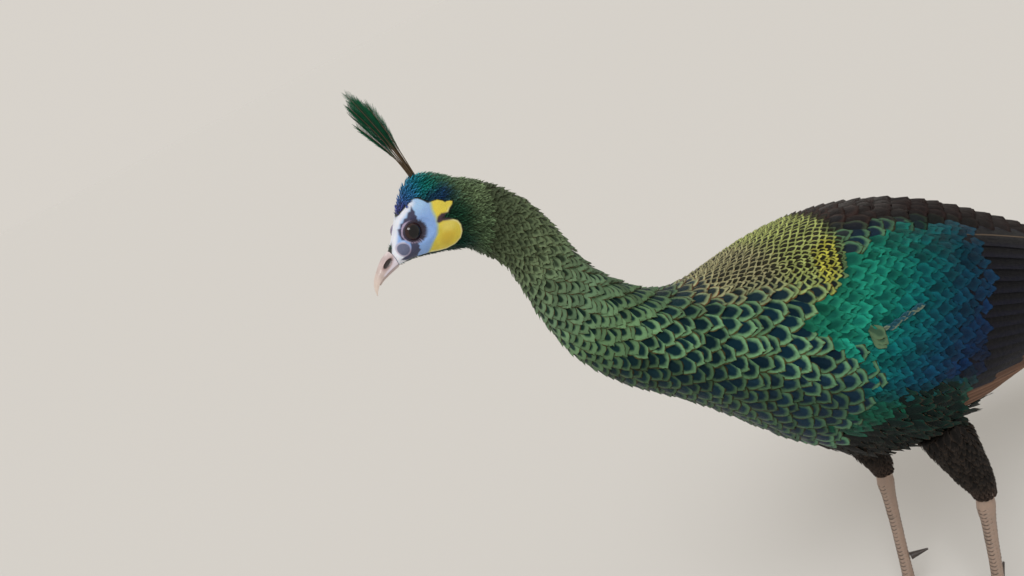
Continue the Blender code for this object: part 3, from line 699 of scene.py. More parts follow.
def grain_group():
    """Fine grain of living or horny surfaces: a bump, and a mask that varies colour."""
    group, tree, given, out = new_group("grain", {"Scale": 900.0, "Depth": 0.0003, "Blotch Scale": 60.0},
                                        ("Normal", "Blotch"))
    solid = tree.node("TexCoord").outputs["Object"]
    cells = tree.node("TexVoronoi", feature="SMOOTH_F1", Vector=solid, Scale=given["Scale"])
    fine = tree.noise(tree.sum("MULTIPLY", given["Scale"], 2.3))
    rise = tree.sum("SUBTRACT", fine, cells.outputs["Distance"])
    tree.put(out["Normal"], tree.bump(rise, given["Depth"]))
    tree.put(out["Blotch"], tree.noise(given["Blotch Scale"], 4.0))
    return group


grain = grain_group()


class Look(Tree):
    """A material, with its Principled shader's inputs given by name."""

    def __init__(self, name, **given):
        self.material = bpy.data.materials.new(name)
        self.material.use_nodes = True
        super().__init__(self.material.node_tree)
        self.shader = self.nodes["Principled BSDF"]
        self.give(**given)

    def give(self, **given):
        for name, value in given.items():
            self.put(self.shader.inputs[name.replace("_", " ")], value)

    def grain(self, scale, depth, blotch_scale):
        """Bumps the surface with the grain group and gives back its blotches."""
        node = self.node("Group", node_tree=grain, Scale=scale, Depth=depth, Blotch_Scale=blotch_scale)
        self.give(Normal=node.outputs["Normal"])
        return node.outputs["Blotch"]


def tinted(name, grain_sizes, darker, lighter, **given):
    """A surface of the colours stored on its mesh, with grain, in blotches of darker and lighter shades."""
    look = Look(name, **given)
    worn = look.mix(look.grain(*grain_sizes), darker, lighter)
    look.give(Base_Color=look.mix(1.0, look.stored("tint"), worn, "MULTIPLY"))
    return look


bare_skin = tinted("bare_skin", (1150.0, 0.00028, 160.0), (0.82, 0.84, 0.88), (1.12, 1.10, 1.06),
                   Roughness=0.52, Subsurface_Weight=0.12, Subsurface_Scale=1.0,
                   Subsurface_Radius=(0.0016, 0.0009, 0.0007))
skin.data.shade_smooth()
legs = [f"{part}_{side}" for side in PAIR for part in ["thigh"] + LOWER_LEG]
hand_in(skin, bare_skin.material, "face_skin", *LENGTHS[:7], *legs)

# ---- Eyes ----
# Each eye is a wet dark ball deep between the lids, with a dark brown iris round a black pupil
# under a clear bulging front.
PUPIL, IRIS = 0.42, 0.74
EYE_RINGS, EYE_SIDES = 40, 48
IRIS_RAYS = 44
BALL_SHRINK, FRONT_RISE, FRONT_BEND = 0.0001, 0.0006, 0.62


def put_map(mesh, name, places):
    """Stores a place on a map for each corner of a mesh."""
    corner = np.zeros(len(mesh.loops), np.int32)
    mesh.loops.foreach_get("vertex_index", corner)
    layer = mesh.uv_layers.new(name=name, do_init=False)
    layer.uv.foreach_set("vector", np.asarray(places, np.float32)[corner].ravel())


def eye_ball(side):
    """A ball with rings round the way it looks. Its map holds the turn round it and the part of a
    quarter turn from its front."""
    way = head_left * (1 if side == "left" else -1)
    back = np.cross(way, head_up)
    bend, turn = np.meshgrid(np.linspace(0.012, 1.9, EYE_RINGS), 2 * pi * np.arange(EYE_SIDES) / EYE_SIDES,
                             indexing="ij")
    reach = EYE_RADIUS - BALL_SHRINK + FRONT_RISE * np.exp(-((bend / FRONT_BEND) ** 2))
    ring = np.sin(bend)[..., None] * (head_up * np.cos(turn)[..., None] + back * np.sin(turn)[..., None])
    points = np.array(eyes[side]) + reach[..., None] * (ring + np.cos(bend)[..., None] * way)
    points, (quads, caps) = closed_tube(points)
    ball = new_object(f"eye_ball_{side}", points, [quads[:, ::-1], caps[:, (0, 2, 1)]])
    marks = np.stack((turn / (2 * pi), bend / (pi / 2)), -1).reshape(-1, 2)
    put_map(ball.data, "look", np.vstack((marks, ((0.5, 0.0), (0.5, 1.2)))))
    return ball


wet_eye = Look("wet_eye", Roughness=0.12, IOR=1.38, Specular_IOR_Level=0.2, Coat_Weight=0.55,
               Coat_Roughness=0.02)
around, outward = wet_eye.map_places("look")
rays = wet_eye.sum("SINE", wet_eye.sum("MULTIPLY_ADD", around, 2 * pi * IRIS_RAYS,
                                       wet_eye.sum("MULTIPLY", wet_eye.noise(1400.0), 5.0)))
colour = wet_eye.mix(wet_eye.sum("MULTIPLY_ADD", rays, 0.5, 0.5), tone(30, 16, 16), tone(52, 30, 28))
colour = wet_eye.mix(wet_eye.step(outward, PUPIL - 0.02, PUPIL + 0.03), tone(6, 5, 7), colour)
colour = wet_eye.mix(wet_eye.step(outward, IRIS - 0.05, IRIS + 0.03), colour, tone(22, 16, 22))
wet_eye.give(Base_Color=colour)
for side in PAIR:
    hand_in(eye_ball(side), wet_eye.material, "eye", f"eye_{side}")

# ---- Bill ----
# A stout pale horn bill with a hooked tip, grown on the skull. The upper half overhangs the lower
# one and has an oval nostril under a low roof on each side.
NOSTRIL = (-0.0280, -0.0119)
NOSTRIL_LONG, NOSTRIL_HIGH, NOSTRIL_TILT, NOSTRIL_DEPTH = 0.0046, 0.0018, 22.5, 0.0011
ROOF_LONG, ROOF_HIGH, ROOF_RISE = 0.0062, 0.0030, 0.0006
GAPE = 0.001 * np.array((
    (-21.0, -9.0), (-23.1, -10.6), (-25.4, -13.8), (-27.9, -15.4), (-31.9, -16.6), (-35.5, -18.4),
    (-34.3, -21.4), (-20.0, -19.0),
))


def smooth_rows(grid, rows):
    """A grid with another number of rows, on smooth curves through its own."""
    along = np.linspace(0, len(grid) - 1, rows)
    low = np.minimum(along.astype(int), len(grid) - 2)
    return smooth_steps(grid.reshape(len(grid), -1), low, along - low).reshape(rows, *grid.shape[1:])


def bill_half(name, rows, columns):
    """A smooth half of the bill through the corners of its solid, one ring of them at each step back."""
    corners = node_mesh(name)[0]
    rear = head_places(corners)[1]
    rings = []
    for step in np.unique(rear.round(5))[::-1]:
        ring = corners[abs(rear - step) < 0.00003]
        x, _, z = head_places(ring)
        mouth = z.min() if name == "bill_upper" else z.max()
        rings.append(ring[np.argsort(np.arctan2(abs(z - mouth), x))])
    count = max(len(ring) for ring in rings)
    grid = smooth_rows(np.array([ring for ring in rings if len(ring) == count]), rows)
    return smooth_rows(grid.transpose(1, 0, 2), columns).transpose(1, 0, 2)


def bill_piece(name, rows, columns):
    grid = bill_half(name, rows, columns)
    left, rear, up = head_places(grid)
    colours = ladder(-rear, (0.021, 208, 194, 196), (0.030, 196, 176, 176), (0.038, 206, 188, 182),
                     (0.047, 226, 210, 198))
    if name == "bill_upper":
        colours = lay(colours, tone(226, 218, 230), ease(inside(GAPE, rear, up) / 0.0014 + 0.5))
        hole = oval(rear, up, NOSTRIL, NOSTRIL_LONG, NOSTRIL_HIGH, NOSTRIL_TILT)
        roof = oval(rear, up, (NOSTRIL[0], NOSTRIL[1] + 0.0016), ROOF_LONG, ROOF_HIGH, NOSTRIL_TILT)
        rise = ROOF_RISE * ease((1.3 - roof) / 0.6) * ease((hole - 0.9) / 0.3)
        rise = rise - NOSTRIL_DEPTH * ease((1.15 - hole) / 0.4)
        grid = grid + (np.sign(left) * rise)[..., None] * head_left
        # the nostril's opening is painted dark, as painted shade inside it
        colours = lay(colours, tone(44, 30, 32), ease((1.25 - hole) / 0.3))
        colours = lay(colours, tone(150, 112, 112), 0.6 * ease((1.9 - hole) / 0.9) * ease((hole - 0.9) / 0.3))
    thing = new_object(f"horn_{name}", *closed_tube(grid))
    put_colours(thing.data, "tint", np.vstack((colours.reshape(-1, 3), colours[[0, -1], 0])))
    face_outward(thing.data)
    hand_in(thing, pale_horn.material, "horn", name)


pale_horn = tinted("pale_horn", (700.0, 0.00012, 180.0), (0.72,) * 3, (1.14,) * 3,
                   Roughness=0.38, Coat_Weight=0.15)
bill_piece("bill_upper", 64, 53)
bill_piece("bill_lower", 40, 40)

# ---- Neck, breast and mantle ----
# Round stiff feathers in staggered rows, each rooted in the skin and overlapping the next like a
# scale: a dark blue-green heart, a broad bright crescent round the tip and a thin brown fringe. They
# are small on the neck, broad on the breast and small and golden on the mantle.
FEATHER_LENGTH, FEATHER_WIDTH = 2.5, 1.25
ROOT_SINK = 0.0032
MARCHES = 16
OFF_FLOOR = 0.0004
WING_EDGE = ((0.36, 3.55), (0.42, 3.68), (0.50, 3.95), (0.60, 4.14))
WING_SHOWS = 0.0015
MANTLE_PITCH, MANTLE_SPACING = 0.0052, 0.0078


def between(on_mantle, *steps):
    """A distance that changes along the bird by (place, distance) steps, and stays the same on the mantle."""
    def distance(p, a):
        plain = ladder(p, *steps)
        return plain + (on_mantle - plain) * mantle_part(p, from_back(a))

    return distance


# from one row of feathers to the next, and from one feather to the next in a row
pitch_of = between(MANTLE_PITCH, (-1, 0.0022), (-0.2, 0.0028), (0.3, 0.0036), (0.8, 0.0050), (1.2, 0.0072),
                   (1.8, 0.0086), (2.3, 0.0094), (3.0, 0.0104), (4.2, 0.0110), (5.2, 0.0120), (7.0, 0.0130))
spacing_of = between(MANTLE_SPACING, (-1, 0.0024), (-0.2, 0.0034), (0.3, 0.0060), (0.8, 0.0084),
                     (1.2, 0.0110), (1.8, 0.0128), (2.3, 0.0145), (3.0, 0.0168), (4.2, 0.0190), (7.0, 0.0210))


def feather_roots(form, pitch, spacing, first, last):
    """Staggered rows of roots (p, a) round a form, as far apart as pitch and spacing say."""
    steps = np.arange(len(form.points)) / form.steps + form.first
    kept = (steps >= first) & (steps <= last)
    turns = np.arange(form.sides) / form.sides
    grid_p, grid_a = np.meshgrid(steps[kept], turns, indexing="ij")
    stride = np.linalg.norm(form.ahead[kept], axis=2) / form.steps
    rows = np.cumsum(stride / pitch(grid_p, grid_a), axis=0)
    found = []
    for row in range(1, int(rows.max()) + 1):
        at = np.array([np.interp(row, rows[:, j], steps[kept], right=np.nan) for j in range(form.sides)])
        filled = np.where(np.isnan(at), last, at)
        ring = form.point(filled, turns)
        gaps = np.linalg.norm(np.roll(ring, -1, 0) - ring, axis=1) / spacing(filled, turns)
        reach = np.concatenate(([0], np.cumsum(gaps)))
        count = max(int(reach[-1].round()), 3)
        marks = (np.arange(count) + 0.5 * (row % 2)) * reach[-1] / count
        turn = np.interp(marks, reach, np.append(turns, 1.0))
        column = (turn * form.sides).round().astype(int) % form.sides
        found.append(np.stack((np.interp(turn, turns, filled, period=1.0), turn), 1)[~np.isnan(at[column])])
    return np.concatenate(found)


def vane_shape(rows, columns, root=0.35, widest=0.66, tip=0.55, bend=0.30):
    """A feather's blade: places across and along it, its places on its own map, and its faces."""
    along = np.linspace(0, 1, rows + 1) ** 0.85
    across = np.linspace(-1, 1, columns + 1)
    broadens = root + (1 - root) * np.sin(np.clip(along / widest, 0, 1) * pi / 2)
    narrows = tip + (1 - tip) * np.sqrt(np.clip(1 - ((along - widest) / (1.0001 - widest)) ** 2, 0, 1))
    x = np.where(along < widest, broadens, narrows)[:, None] * across[None]
    y = along[:, None] - bend * (along**2)[:, None] * (across**2)[None]
    marks = np.stack(np.meshgrid(across / 2 + 0.5, along), -1).reshape(-1, 2)
    return x.ravel(), y.ravel(), marks, grid_faces(rows + 1, columns + 1)


def steps_on(form, p, a, forward, sideways=0.0):
    """How far places move in (p, a) when they go some metres forward and sideways over a form."""
    ahead, round_ = form.look_up(form.ahead, p, a), form.look_up(form.round, p, a)
    turn_length = np.linalg.norm(round_, axis=-1)
    across = round_ / turn_length[..., None]
    skew = (ahead * across).sum(-1)
    straight = np.sqrt(np.maximum((ahead * ahead).sum(-1) - skew**2, 1e-12))
    dp = forward / straight
    return dp, (sideways - skew * dp) / turn_length


def spread(chance, count, width):
    """Random amounts to either side of 0, over a width in all."""
    return (chance.random(count) - 0.5) * width


def shades(count, seed, most=0.16):
    """A slightly different brightness for each feather."""
    return 1 + most * (np.random.default_rng(seed).random(count)[:, None] * 2 - 1)


class Coat:
    """Feathers of one piece: their corners, faces, own maps, baking map and colours. Every feather lies
    on a form and follows its curve."""

    def __init__(self, first, last):
        self.first, self.last, self.total = first, last, 0
        self.points, self.faces, self.maps, self.baked = [], [], [], []
        self.colours = {"heart": [], "rim": []}

    def add(self, form, p, a, length, width, shape, turn=0.0, sink=0.0, lift=0.0, dip=0.0, curl=0.0, tilt=0.0,
            size=0.003, hearts=None, rims=None, ends=None, fray=0.0, seed=0, parts=1):
        """Lays feathers over a form from roots (p, a), at a slant of some radians or to given ends.
        A broad feather is laid across in several parts, where the form curves much under it."""
        x, y, marks, faces = shape
        count = len(p)
        length, width, turn, sink, lift, tilt = (
            np.broadcast_to(v, count).astype(float)[:, None] for v in (length, width, turn, sink, lift, tilt))
        chance = np.random.default_rng(seed)
        if ends is None:
            spine = [np.stack((p, a), 1)]
            way = length[:, 0] / MARCHES
            for _ in range(MARCHES):
                dp, da = steps_on(form, *spine[-1].T, way * np.cos(turn[:, 0]), way * np.sin(turn[:, 0]))
                spine.append(spine[-1] + np.stack((dp, da), 1))
            spine = np.stack(spine, 1)
        else:
            start = np.stack((p, a), 1)[:, None]
            spine = start + (ends[:, None] - start) * np.linspace(0, 1, MARCHES + 1)[None, :, None]
            points = form.point(*np.moveaxis(spine, 2, 0))
            across = unit(form.look_up(form.round, *spine[:, MARCHES // 2].T))
            slant = (unit(points[:, -1] - points[:, 0]) * across).sum(-1)
            turn = np.arcsin(np.clip(slant, -1, 1))[:, None]
        ragged = y + fray * (chance.random((count, len(y))) - 0.5) * (y > 0.8)
        at = np.clip(ragged * MARCHES, 0, MARCHES - 1e-6)
        low = at.astype(int)
        part, each = (at - low)[..., None], np.arange(count)[:, None]
        place = spine[each, low] * (1 - part) + spine[each, low + 1] * part
        side = x[None] * width / 2
        at_p, at_a = place[..., 0], place[..., 1]
        for _ in range(parts):
            dp, da = steps_on(form, at_p, at_a, -side * np.sin(turn) / parts, side * np.cos(turn) / parts)
            at_p, at_a = at_p + dp, at_a + da
        height = lift * y + sink * (y - 1) + tilt * side - dip * width * (x**2) + curl * length * y**3
        points = form.point(at_p, at_a) + form.normal(at_p, at_a) * height[..., None]
        self.put(points, marks, faces, (p, a), size, hearts, rims)

    def put(self, points, marks, faces, root, size, hearts, rims):
        """Adds one shape per root: its corners, its places on its own map, and the faces between them."""
        count, corners = points.shape[:2]
        points[..., 2] = np.maximum(points[..., 2], OFF_FLOOR)
        self.points.append(points.reshape(-1, 3))
        offset = self.total + corners * np.arange(count)
        self.faces.append((faces[None] + offset[:, None, None]).reshape(-1, faces.shape[1]))
        self.total += corners * count
        self.maps.append(np.broadcast_to(marks, (count, corners, 2)).reshape(-1, 2))
        # the baking map spreads the roots over the skin's own unwrap, slit along the belly
        around, along = (root[1] + 0.5) % 1.0, (root[0] - self.first) / (self.last - self.first)
        base = np.stack((around, along), -1) * 0.96 + 0.02
        self.baked.append((base[:, None] + marks[None] * np.array(size)).reshape(-1, 2))
        for name, given in (("heart", hearts), ("rim", rims)):
            self.colours[name].append(np.repeat(given, corners, 0))

    def finish(self, name, look, slot, *nodes):
        thing = new_object(name, np.vstack(self.points), self.faces)
        put_map(thing.data, "vane", np.vstack(self.maps))
        put_map(thing.data, "OFBake", np.clip(np.vstack(self.baked), 0, 1))
        for layer, values in self.colours.items():
            put_colours(thing.data, layer, np.vstack(values))
        hand_in(thing, look.material, slot, *nodes)


def vane_group():
    """A feather seen on its own map: how near its edge a place lies, its barbs, its shaft and a noise."""
    group, tree, given, out = new_group("vane", {"Tip Start": 0.5, "Barbs": 26.0},
                                        ("Edge", "Barb", "Shaft", "Noise"))
    do, noise, start = tree.sum, tree.noise(260.0), given["Tip Start"]
    breadth, along = tree.map_places("vane")
    across = do("ABSOLUTE", do("MULTIPLY_ADD", breadth, 2.0, -1.0))
    tip = do("DIVIDE", do("SUBTRACT", along, start), do("SUBTRACT", 1.0, start), clamp=True)
    wave = do("MULTIPLY", do("SUBTRACT", along, do("MULTIPLY", across, 0.5)), given["Barbs"])
    wave = do("ADD", wave, do("MULTIPLY", noise, 0.8))
    for name, value in (
        ("Edge", do("SQRT", do("ADD", do("POWER", across, 2.0), do("POWER", tip, 2.0)))),
        ("Barb", do("MULTIPLY_ADD", do("SINE", do("MULTIPLY", wave, 2 * pi)), 0.5, 0.5)),
        ("Shaft", tree.step(across, 0.10, 0.02)),
        ("Noise", noise),
    ):
        tree.put(out[name], value)
    return group


vane = vane_group()


def feather_look(name, ring=(0.44, 0.60), fringe=(0.80, 0.94), fringe_colour=None, metal=0.35, rough=0.42,
                 barbs=22.0, depth=0.0004, shaft=0.0):
    """Feathers with a dark heart, a bright ring round the tip and a fringe."""
    look = Look(name, Metallic=metal, Specular_IOR_Level=0.10)
    node = look.node("Group", node_tree=vane, Tip_Start=0.52, Barbs=barbs)
    edge, barb, shaft_mask, noise = (node.outputs[output] for output in ("Edge", "Barb", "Shaft", "Noise"))
    rim = look.stored("rim")
    edge = look.sum("MULTIPLY_ADD", noise, 0.30, look.sum("SUBTRACT", edge, 0.15))
    colour = look.mix(look.step(edge, *ring), look.stored("heart"), rim)
    last = look.mix(1.0, rim, (0.50, 0.22, 0.18), "MULTIPLY") if fringe_colour is None else fringe_colour
    colour = look.mix(look.step(edge, *fringe), colour, last)
    dark = look.mix(1.0, colour, (0.45, 0.45, 0.45), "MULTIPLY")
    colour = look.mix(look.sum("MULTIPLY", barb, 0.35), colour, dark)
    if shaft:
        colour = look.mix(look.sum("MULTIPLY", shaft_mask, shaft), colour, (0.16, 0.11, 0.07))
    look.give(Base_Color=colour, Roughness=look.sum("MULTIPLY_ADD", noise, 0.25, rough - 0.12),
              Normal=look.bump(barb, depth, 0.8))
    return look


def wing_rise(p, a):
    """How far the folded wing stands out from the body."""
    return np.linalg.norm(outer.point(p, a) - body.point(p, a), axis=-1)


all_roots = feather_roots(outer, pitch_of, spacing_of, 0.12, 7.2)
all_roots[:, 0] += spread(np.random.default_rng(5), len(all_roots), 0.02)
root_p, root_a = all_roots.T
root_t = from_back(root_a)
golden = mantle_part(root_p, root_t) > 0.5
tip_p = root_p + steps_on(outer, root_p, root_a, 0.8 * FEATHER_LENGTH * pitch_of(root_p, root_a))[0]
over_wing = (wing_rise(tip_p + 0.10, root_a) > WING_SHOWS) & (tip_p > ladder(root_t, *WING_EDGE))


def lay_scales(name, chosen, look, slot, shape, seed, size=0.003, lift=0.0006, loose=0.0):
    """Lays the chosen feathers of the neck and body in one piece."""
    p, a = root_p[chosen], root_a[chosen]
    chance, count = np.random.default_rng(seed), len(p)
    length = FEATHER_LENGTH * pitch_of(p, a) * (0.92 + 0.16 * chance.random(count))
    width = FEATHER_WIDTH * spacing_of(p, a) * (0.94 + 0.12 * chance.random(count))
    shade = shades(count, seed, 0.26)
    coat = Coat(min(p.min(), 0.0), max(p.max() + 0.1, 1.0))
    coat.add(outer, p, a, length, width, shape, spread(chance, count, 0.16 + loose), ROOT_SINK,
             lift + (0.0006 + 0.0012 * loose) * chance.random(count), dip=0.07, size=size,
             hearts=heart_colours(p, a) * shade, rims=tip_colours(tip_p[chosen], a) * shade,
             fray=0.03 + 0.08 * loose, seed=seed)
    coat.finish(name, look, slot)


scale = vane_shape(7, 6, root=0.45, widest=0.56, tip=0.10, bend=0.10)
small_scale = vane_shape(5, 4, root=0.45, widest=0.62, tip=0.34, bend=0.22)
plain = ~golden & ~over_wing
lay_scales("nape_feathers", plain & (root_p < 1.0), feather_look(
    "neck_vanes", ring=(0.20, 0.65), fringe=(0.96, 1.10), metal=0.2, rough=0.55, barbs=10.0,
), "neck_feather", small_scale, 10, size=0.006, lift=0.0002, loose=0.6)
lay_scales("neck_scales", plain & (root_p >= 1.0) & (root_p < 2.1), feather_look(
    "neck_crescents", ring=(0.26, 0.56), fringe=(0.94, 1.06), metal=0.3, rough=0.48, barbs=14.0,
), "neck_feather", scale, 11, size=0.010, lift=0.0, loose=0.2)
lay_scales("breast_scales", plain & (root_p >= 2.1) & (root_p < 4.35), feather_look(
    "crescent_feathers", ring=(0.40, 0.78), fringe=(0.86, 1.00),
), "breast_feather", scale, 12, size=0.014, lift=0.0003, loose=0.35)
lay_scales("mantle_scales", golden & ~over_wing, feather_look(
    "golden_scales", ring=(0.46, 0.66), fringe=(0.94, 1.08), metal=0.25, rough=0.5,
), "breast_feather", small_scale, 13, size=0.006)
lay_scales("body_feathers", plain & (root_p >= 4.35), feather_look(
    "body_feathers", metal=0.0, rough=0.62, ring=(0.5, 0.8),
), "body_feather", scale, 14, size=0.014)

# ---- Head plumage ----
# Short velvety feathers cover the head round the bare face: green above the bill, violet and bright
# blue on the crown, turquoise behind it, glossy dark green round the ear and olive on the nape. A
# tall crest of stalked feathers, rooted in the skin, stands on the crown.
# Middles of the patches of colour in millimetres to the back and up, their sizes and their colours.
HEAD_COLOURS = (
    (-18, -4, 4, 34, 96, 72), (-8, 9, 4, 40, 84, 110), (0, 18, 5, 90, 94, 176), (8, 26, 5, 60, 122, 184),
    (15, 32, 5, 54, 140, 190), (22, 34, 6, 24, 132, 146), (25, 25, 5, 14, 140, 120), (24, 18, 3, 38, 40, 92),
    (32, 15, 4, 18, 44, 116), (38, 10, 4, 12, 60, 66), (38, -3, 5, 14, 66, 50), (36, -14, 5, 14, 60, 44),
    (30, -28, 6, 14, 62, 52), (10, -22, 5, 18, 66, 62), (-6, -16, 4, 22, 70, 70), (-18, -14, 4, 28, 74, 70),
    (38, 26, 7, 60, 108, 84), (50, 12, 8, 96, 118, 84), (56, -6, 9, 102, 120, 86), (50, -22, 8, 90, 112, 80),
)


def graded(*steps):
    """A distance that changes along a form by a ladder of (place, distance) steps."""
    return lambda p, a: ladder(p, *steps)


def head_plumage(points):
    """Colours of the head's feathers, blended between the middles of their patches."""
    _, rear, up = head_places(points)
    total, weights = 0, 0
    for x, y, size, *chip in HEAD_COLOURS:
        away = ((rear - 0.001 * x) ** 2 + (up - 0.001 * y) ** 2) / (0.001 * size) ** 2
        weight = np.exp(-away / 2) + 1e-9
        total, weights = total + weight[..., None] * tone(*chip), weights + weight
    return total / weights[..., None]


def lay_velvet():
    roots = feather_roots(body, graded((-1, 0.0017), (-0.3, 0.0020), (0.2, 0.0028)),
                          graded((-1, 0.0019), (-0.3, 0.0024), (0.2, 0.0036)), -1.0, 0.20)
    chance = np.random.default_rng(51)
    roots = roots + spread(chance, roots.shape, (0.014, 0.006))
    places = body.point(*roots.T)
    grown = bare(places) < -0.0003
    roots, places = roots[grown], places[grown]
    p, a = roots.T
    count = len(p)
    colours = head_plumage(places) * shades(count, 52, 0.30)
    rims = colours * np.where(chance.random(count) < 0.12, 2.1, 1.25)[:, None]
    _, rear, up = head_places(places)
    near_face = ease((0.006 + bare(places)) / 0.006)
    length = ladder(p, (-1, 0.0042), (-0.4, 0.0062), (0.2, 0.0095)) * (1 - 0.35 * near_face)
    length = length * (0.85 + 0.3 * chance.random(count))
    width = ladder(p, (-1, 0.0024), (-0.3, 0.0030), (0.2, 0.0044))
    crown = ease(1 - np.hypot(rear - 0.018, up - 0.034) / 0.016)
    jaw = ease((-0.012 - up) / 0.006) * ease((0.030 - rear) / 0.012)
    turn = spread(chance, count, 0.9)
    lift = (0.0006 + 0.0012 * chance.random(count)) * (1 - 0.8 * jaw) + 0.0016 * crown
    coat = Coat(-1.0, 0.3)
    coat.add(body, p, a, length, width, vane_shape(3, 2, root=0.5, bend=0.4), turn, 0.0011 + 0.0006 * jaw,
             lift, dip=0.10, curl=0.02, hearts=colours * 0.62, rims=rims, fray=0.10, seed=53)
    coat.finish("head_feathers", feather_look(
        "velvet_feathers", ring=(0.25, 0.85), fringe=(0.96, 1.15), fringe_colour=tone(30, 44, 40), metal=0.45,
        rough=0.4, barbs=9.0, depth=0.0003,
    ), "neck_feather")


lay_velvet()

CREST_STALKS, STALK_POINTS, STALK_BARBS = 13, 15, 34
CREST_LEAN, CREST_SWAY = 0.105, 0.07
STALK_HALF, BARB_HALF, CREST_BARB = 0.00045, 0.00055, 0.0075


def strip(line, half, marked):
    """A strip along a line, as broad as half to either side: points, places on its map, and faces."""
    points = np.stack((line - half, line + half), 1).reshape(-1, line.shape[1])
    return points, np.broadcast_to(marked, (len(points), 2)), grid_faces(len(line), 2)


def joined(strips):
    """One shape from several strips."""
    points, marks, faces = zip(*strips)
    starts = np.cumsum([0] + [len(each) for each in points])
    faces = [each + start for each, start in zip(faces, starts)]
    return np.concatenate(points), np.concatenate(marks), np.concatenate(faces)


def crest_feathers():
    """Stalks that are bare below and carry loose barbs above, in a narrow bunch."""
    corners = node_mesh("crest")[0]
    low = corners[corners[:, 2] < corners[:, 2].min() + 0.001].mean(0)
    way = unit(corners[corners[:, 2] > corners[:, 2].max() - 0.03].mean(0) - low)
    tall = (corners @ way).max() - low @ way
    fore = unit(head_back - (head_back @ way) * way)
    aside = np.cross(way, fore)
    chance = np.random.default_rng(61)
    coat = Coat(-1.0, 0.3)
    along = np.linspace(0, 1, STALK_POINTS)
    for k in range(CREST_STALKS):
        lean, sway = spread(chance, None, 2 * CREST_LEAN), spread(chance, None, 2 * CREST_SWAY)
        height = tall * (1.0 - 0.22 * abs(lean) / CREST_LEAN - 0.10 * chance.random()) + 0.004
        foot = low - way * 0.006 + fore * lean * 0.02 + aside * sway * 0.02
        stem = foot + way * (height * along)[:, None]
        for side, swing in ((fore, lean), (aside, sway)):
            stem = stem + side * (swing * height * along**1.5)[:, None]
        stem = stem + fore * (0.0025 * np.sin(pi * along))[:, None]
        yaw = pi * chance.random()
        flat = fore * cos(yaw) + aside * sin(yaw)
        flat = unit(flat + 1.2 * fore * np.sign(flat @ fore))
        half = STALK_HALF * (1.2 - along)[:, None]
        strips = [strip(stem, normal * half, (0.5, 0.05)) for normal in (flat, np.cross(flat, way))]
        for part in np.linspace(0.36, 0.985, STALK_BARBS):
            at = np.array([np.interp(part, along, stem[:, axis]) for axis in range(3)])
            reach = CREST_BARB * ease((part - 0.30) / 0.35) * (0.8 + 0.4 * chance.random())
            reach = reach * (1 - 0.35 * ease((part - 0.9) / 0.1))
            slant = radians(34 - 16 * ease((part - 0.8) / 0.2))
            for side in (-1, 1):
                ends = np.array((0, 0.5, 1.0))[:, None]
                line = at + flat * side * reach * sin(slant) * ends * (1.15 - 0.15 * ends)
                line = line + way * reach * cos(slant) * ends
                across = 0.5 + side * 0.5 * np.repeat(ends[:, 0], 2)
                marked = np.stack((across, np.full(6, 0.3 + 0.5 * part)), 1)
                strips.append(strip(line, BARB_HALF * np.array((1, 1, 0.2))[:, None] * way, marked))
        shade = 0.8 + 0.4 * chance.random()
        root = (np.array([-0.35 + 0.002 * k]), np.array([0.02 * k]))
        points, marks, faces = joined(strips)
        coat.put(points[None], marks, faces, root, 0.012, tone(24, 62, 50)[None] * shade,
                 tone(28, 104, 70)[None] * shade)
    coat.finish("crest_feathers", feather_look(
        "crest_vanes", ring=(0.25, 0.85), fringe=(1.2, 1.4), metal=0.3, rough=0.5, barbs=9.0, shaft=0.9,
    ), "crest_feather", "crest")


crest_feathers()

# ---- Wings ----
# The folded wing: small glossy coverts, teal in front and blue behind, then the long violet-black
# secondaries, and below them the cinnamon primaries, which close the wing's lower edge. All are
# rooted along the wing's hidden arm and hand.
COVERT_END = 4.66
COVERT_FRONT = 0.09
LACY_TIPS = 26


def covert_colours(p, t):
    colours = ladder(p + 0.9 * (t - 0.42), (3.5, 48, 136, 100), (3.95, 40, 170, 144), (4.22, 12, 124, 126),
                     (4.45, 8, 84, 108), (4.7, 8, 54, 98), (4.95, 16, 18, 44))
    colours = lay(colours, tone(20, 96, 74), ease((t - 0.60) / 0.10) * ease((4.9 - p) / 0.3))
    return colours * (1 - 0.36 * ease((0.34 - t) / 0.12))[:, None]


chance = np.random.default_rng(21)
roots = feather_roots(outer, graded((3.4, 0.0068), (4.1, 0.0082), (4.7, 0.0105)),
                      graded((3.4, 0.0105), (4.1, 0.0125), (4.7, 0.0150)), 3.2, COVERT_END)
p, a = (roots + spread(chance, roots.shape, (0.03, 0.006))).T
end_p = p + steps_on(outer, p, a, 0.016)[0]
chosen = (wing_rise(end_p + 0.10, a) > WING_SHOWS) & (end_p > ladder(from_back(a), *WING_EDGE) - COVERT_FRONT)
chosen &= end_p < COVERT_END + 0.06
p, a, end_p = p[chosen], a[chosen], end_p[chosen]
count = len(p)
rims = covert_colours(end_p, from_back(a))
hearts = rims * np.array((0.45, 0.50, 0.55))
shade = shades(count, 22, 0.34)
coverts = Coat(3.0, 5.0)
coverts.add(outer, p, a, ladder(p, (3.4, 0.019), (4.7, 0.027)) * (0.85 + 0.3 * chance.random(count)),
            ladder(p, (3.4, 0.0145), (4.7, 0.0190)) * (0.85 + 0.3 * chance.random(count)), small_scale,
            spread(chance, count, 0.36), 0.0030, 0.0003 + 0.0009 * chance.random(count), dip=0.08, size=0.010,
            hearts=hearts * shade, rims=rims * shade, fray=0.06, seed=23)
coverts.finish("wing_coverts", feather_look(
    "covert_feathers", ring=(0.20, 0.80), fringe=(0.98, 1.16), metal=0.55, barbs=20.0, depth=0.0005,
), "wing_covert", *(f"wing_{side}_coverts" for side in PAIR))

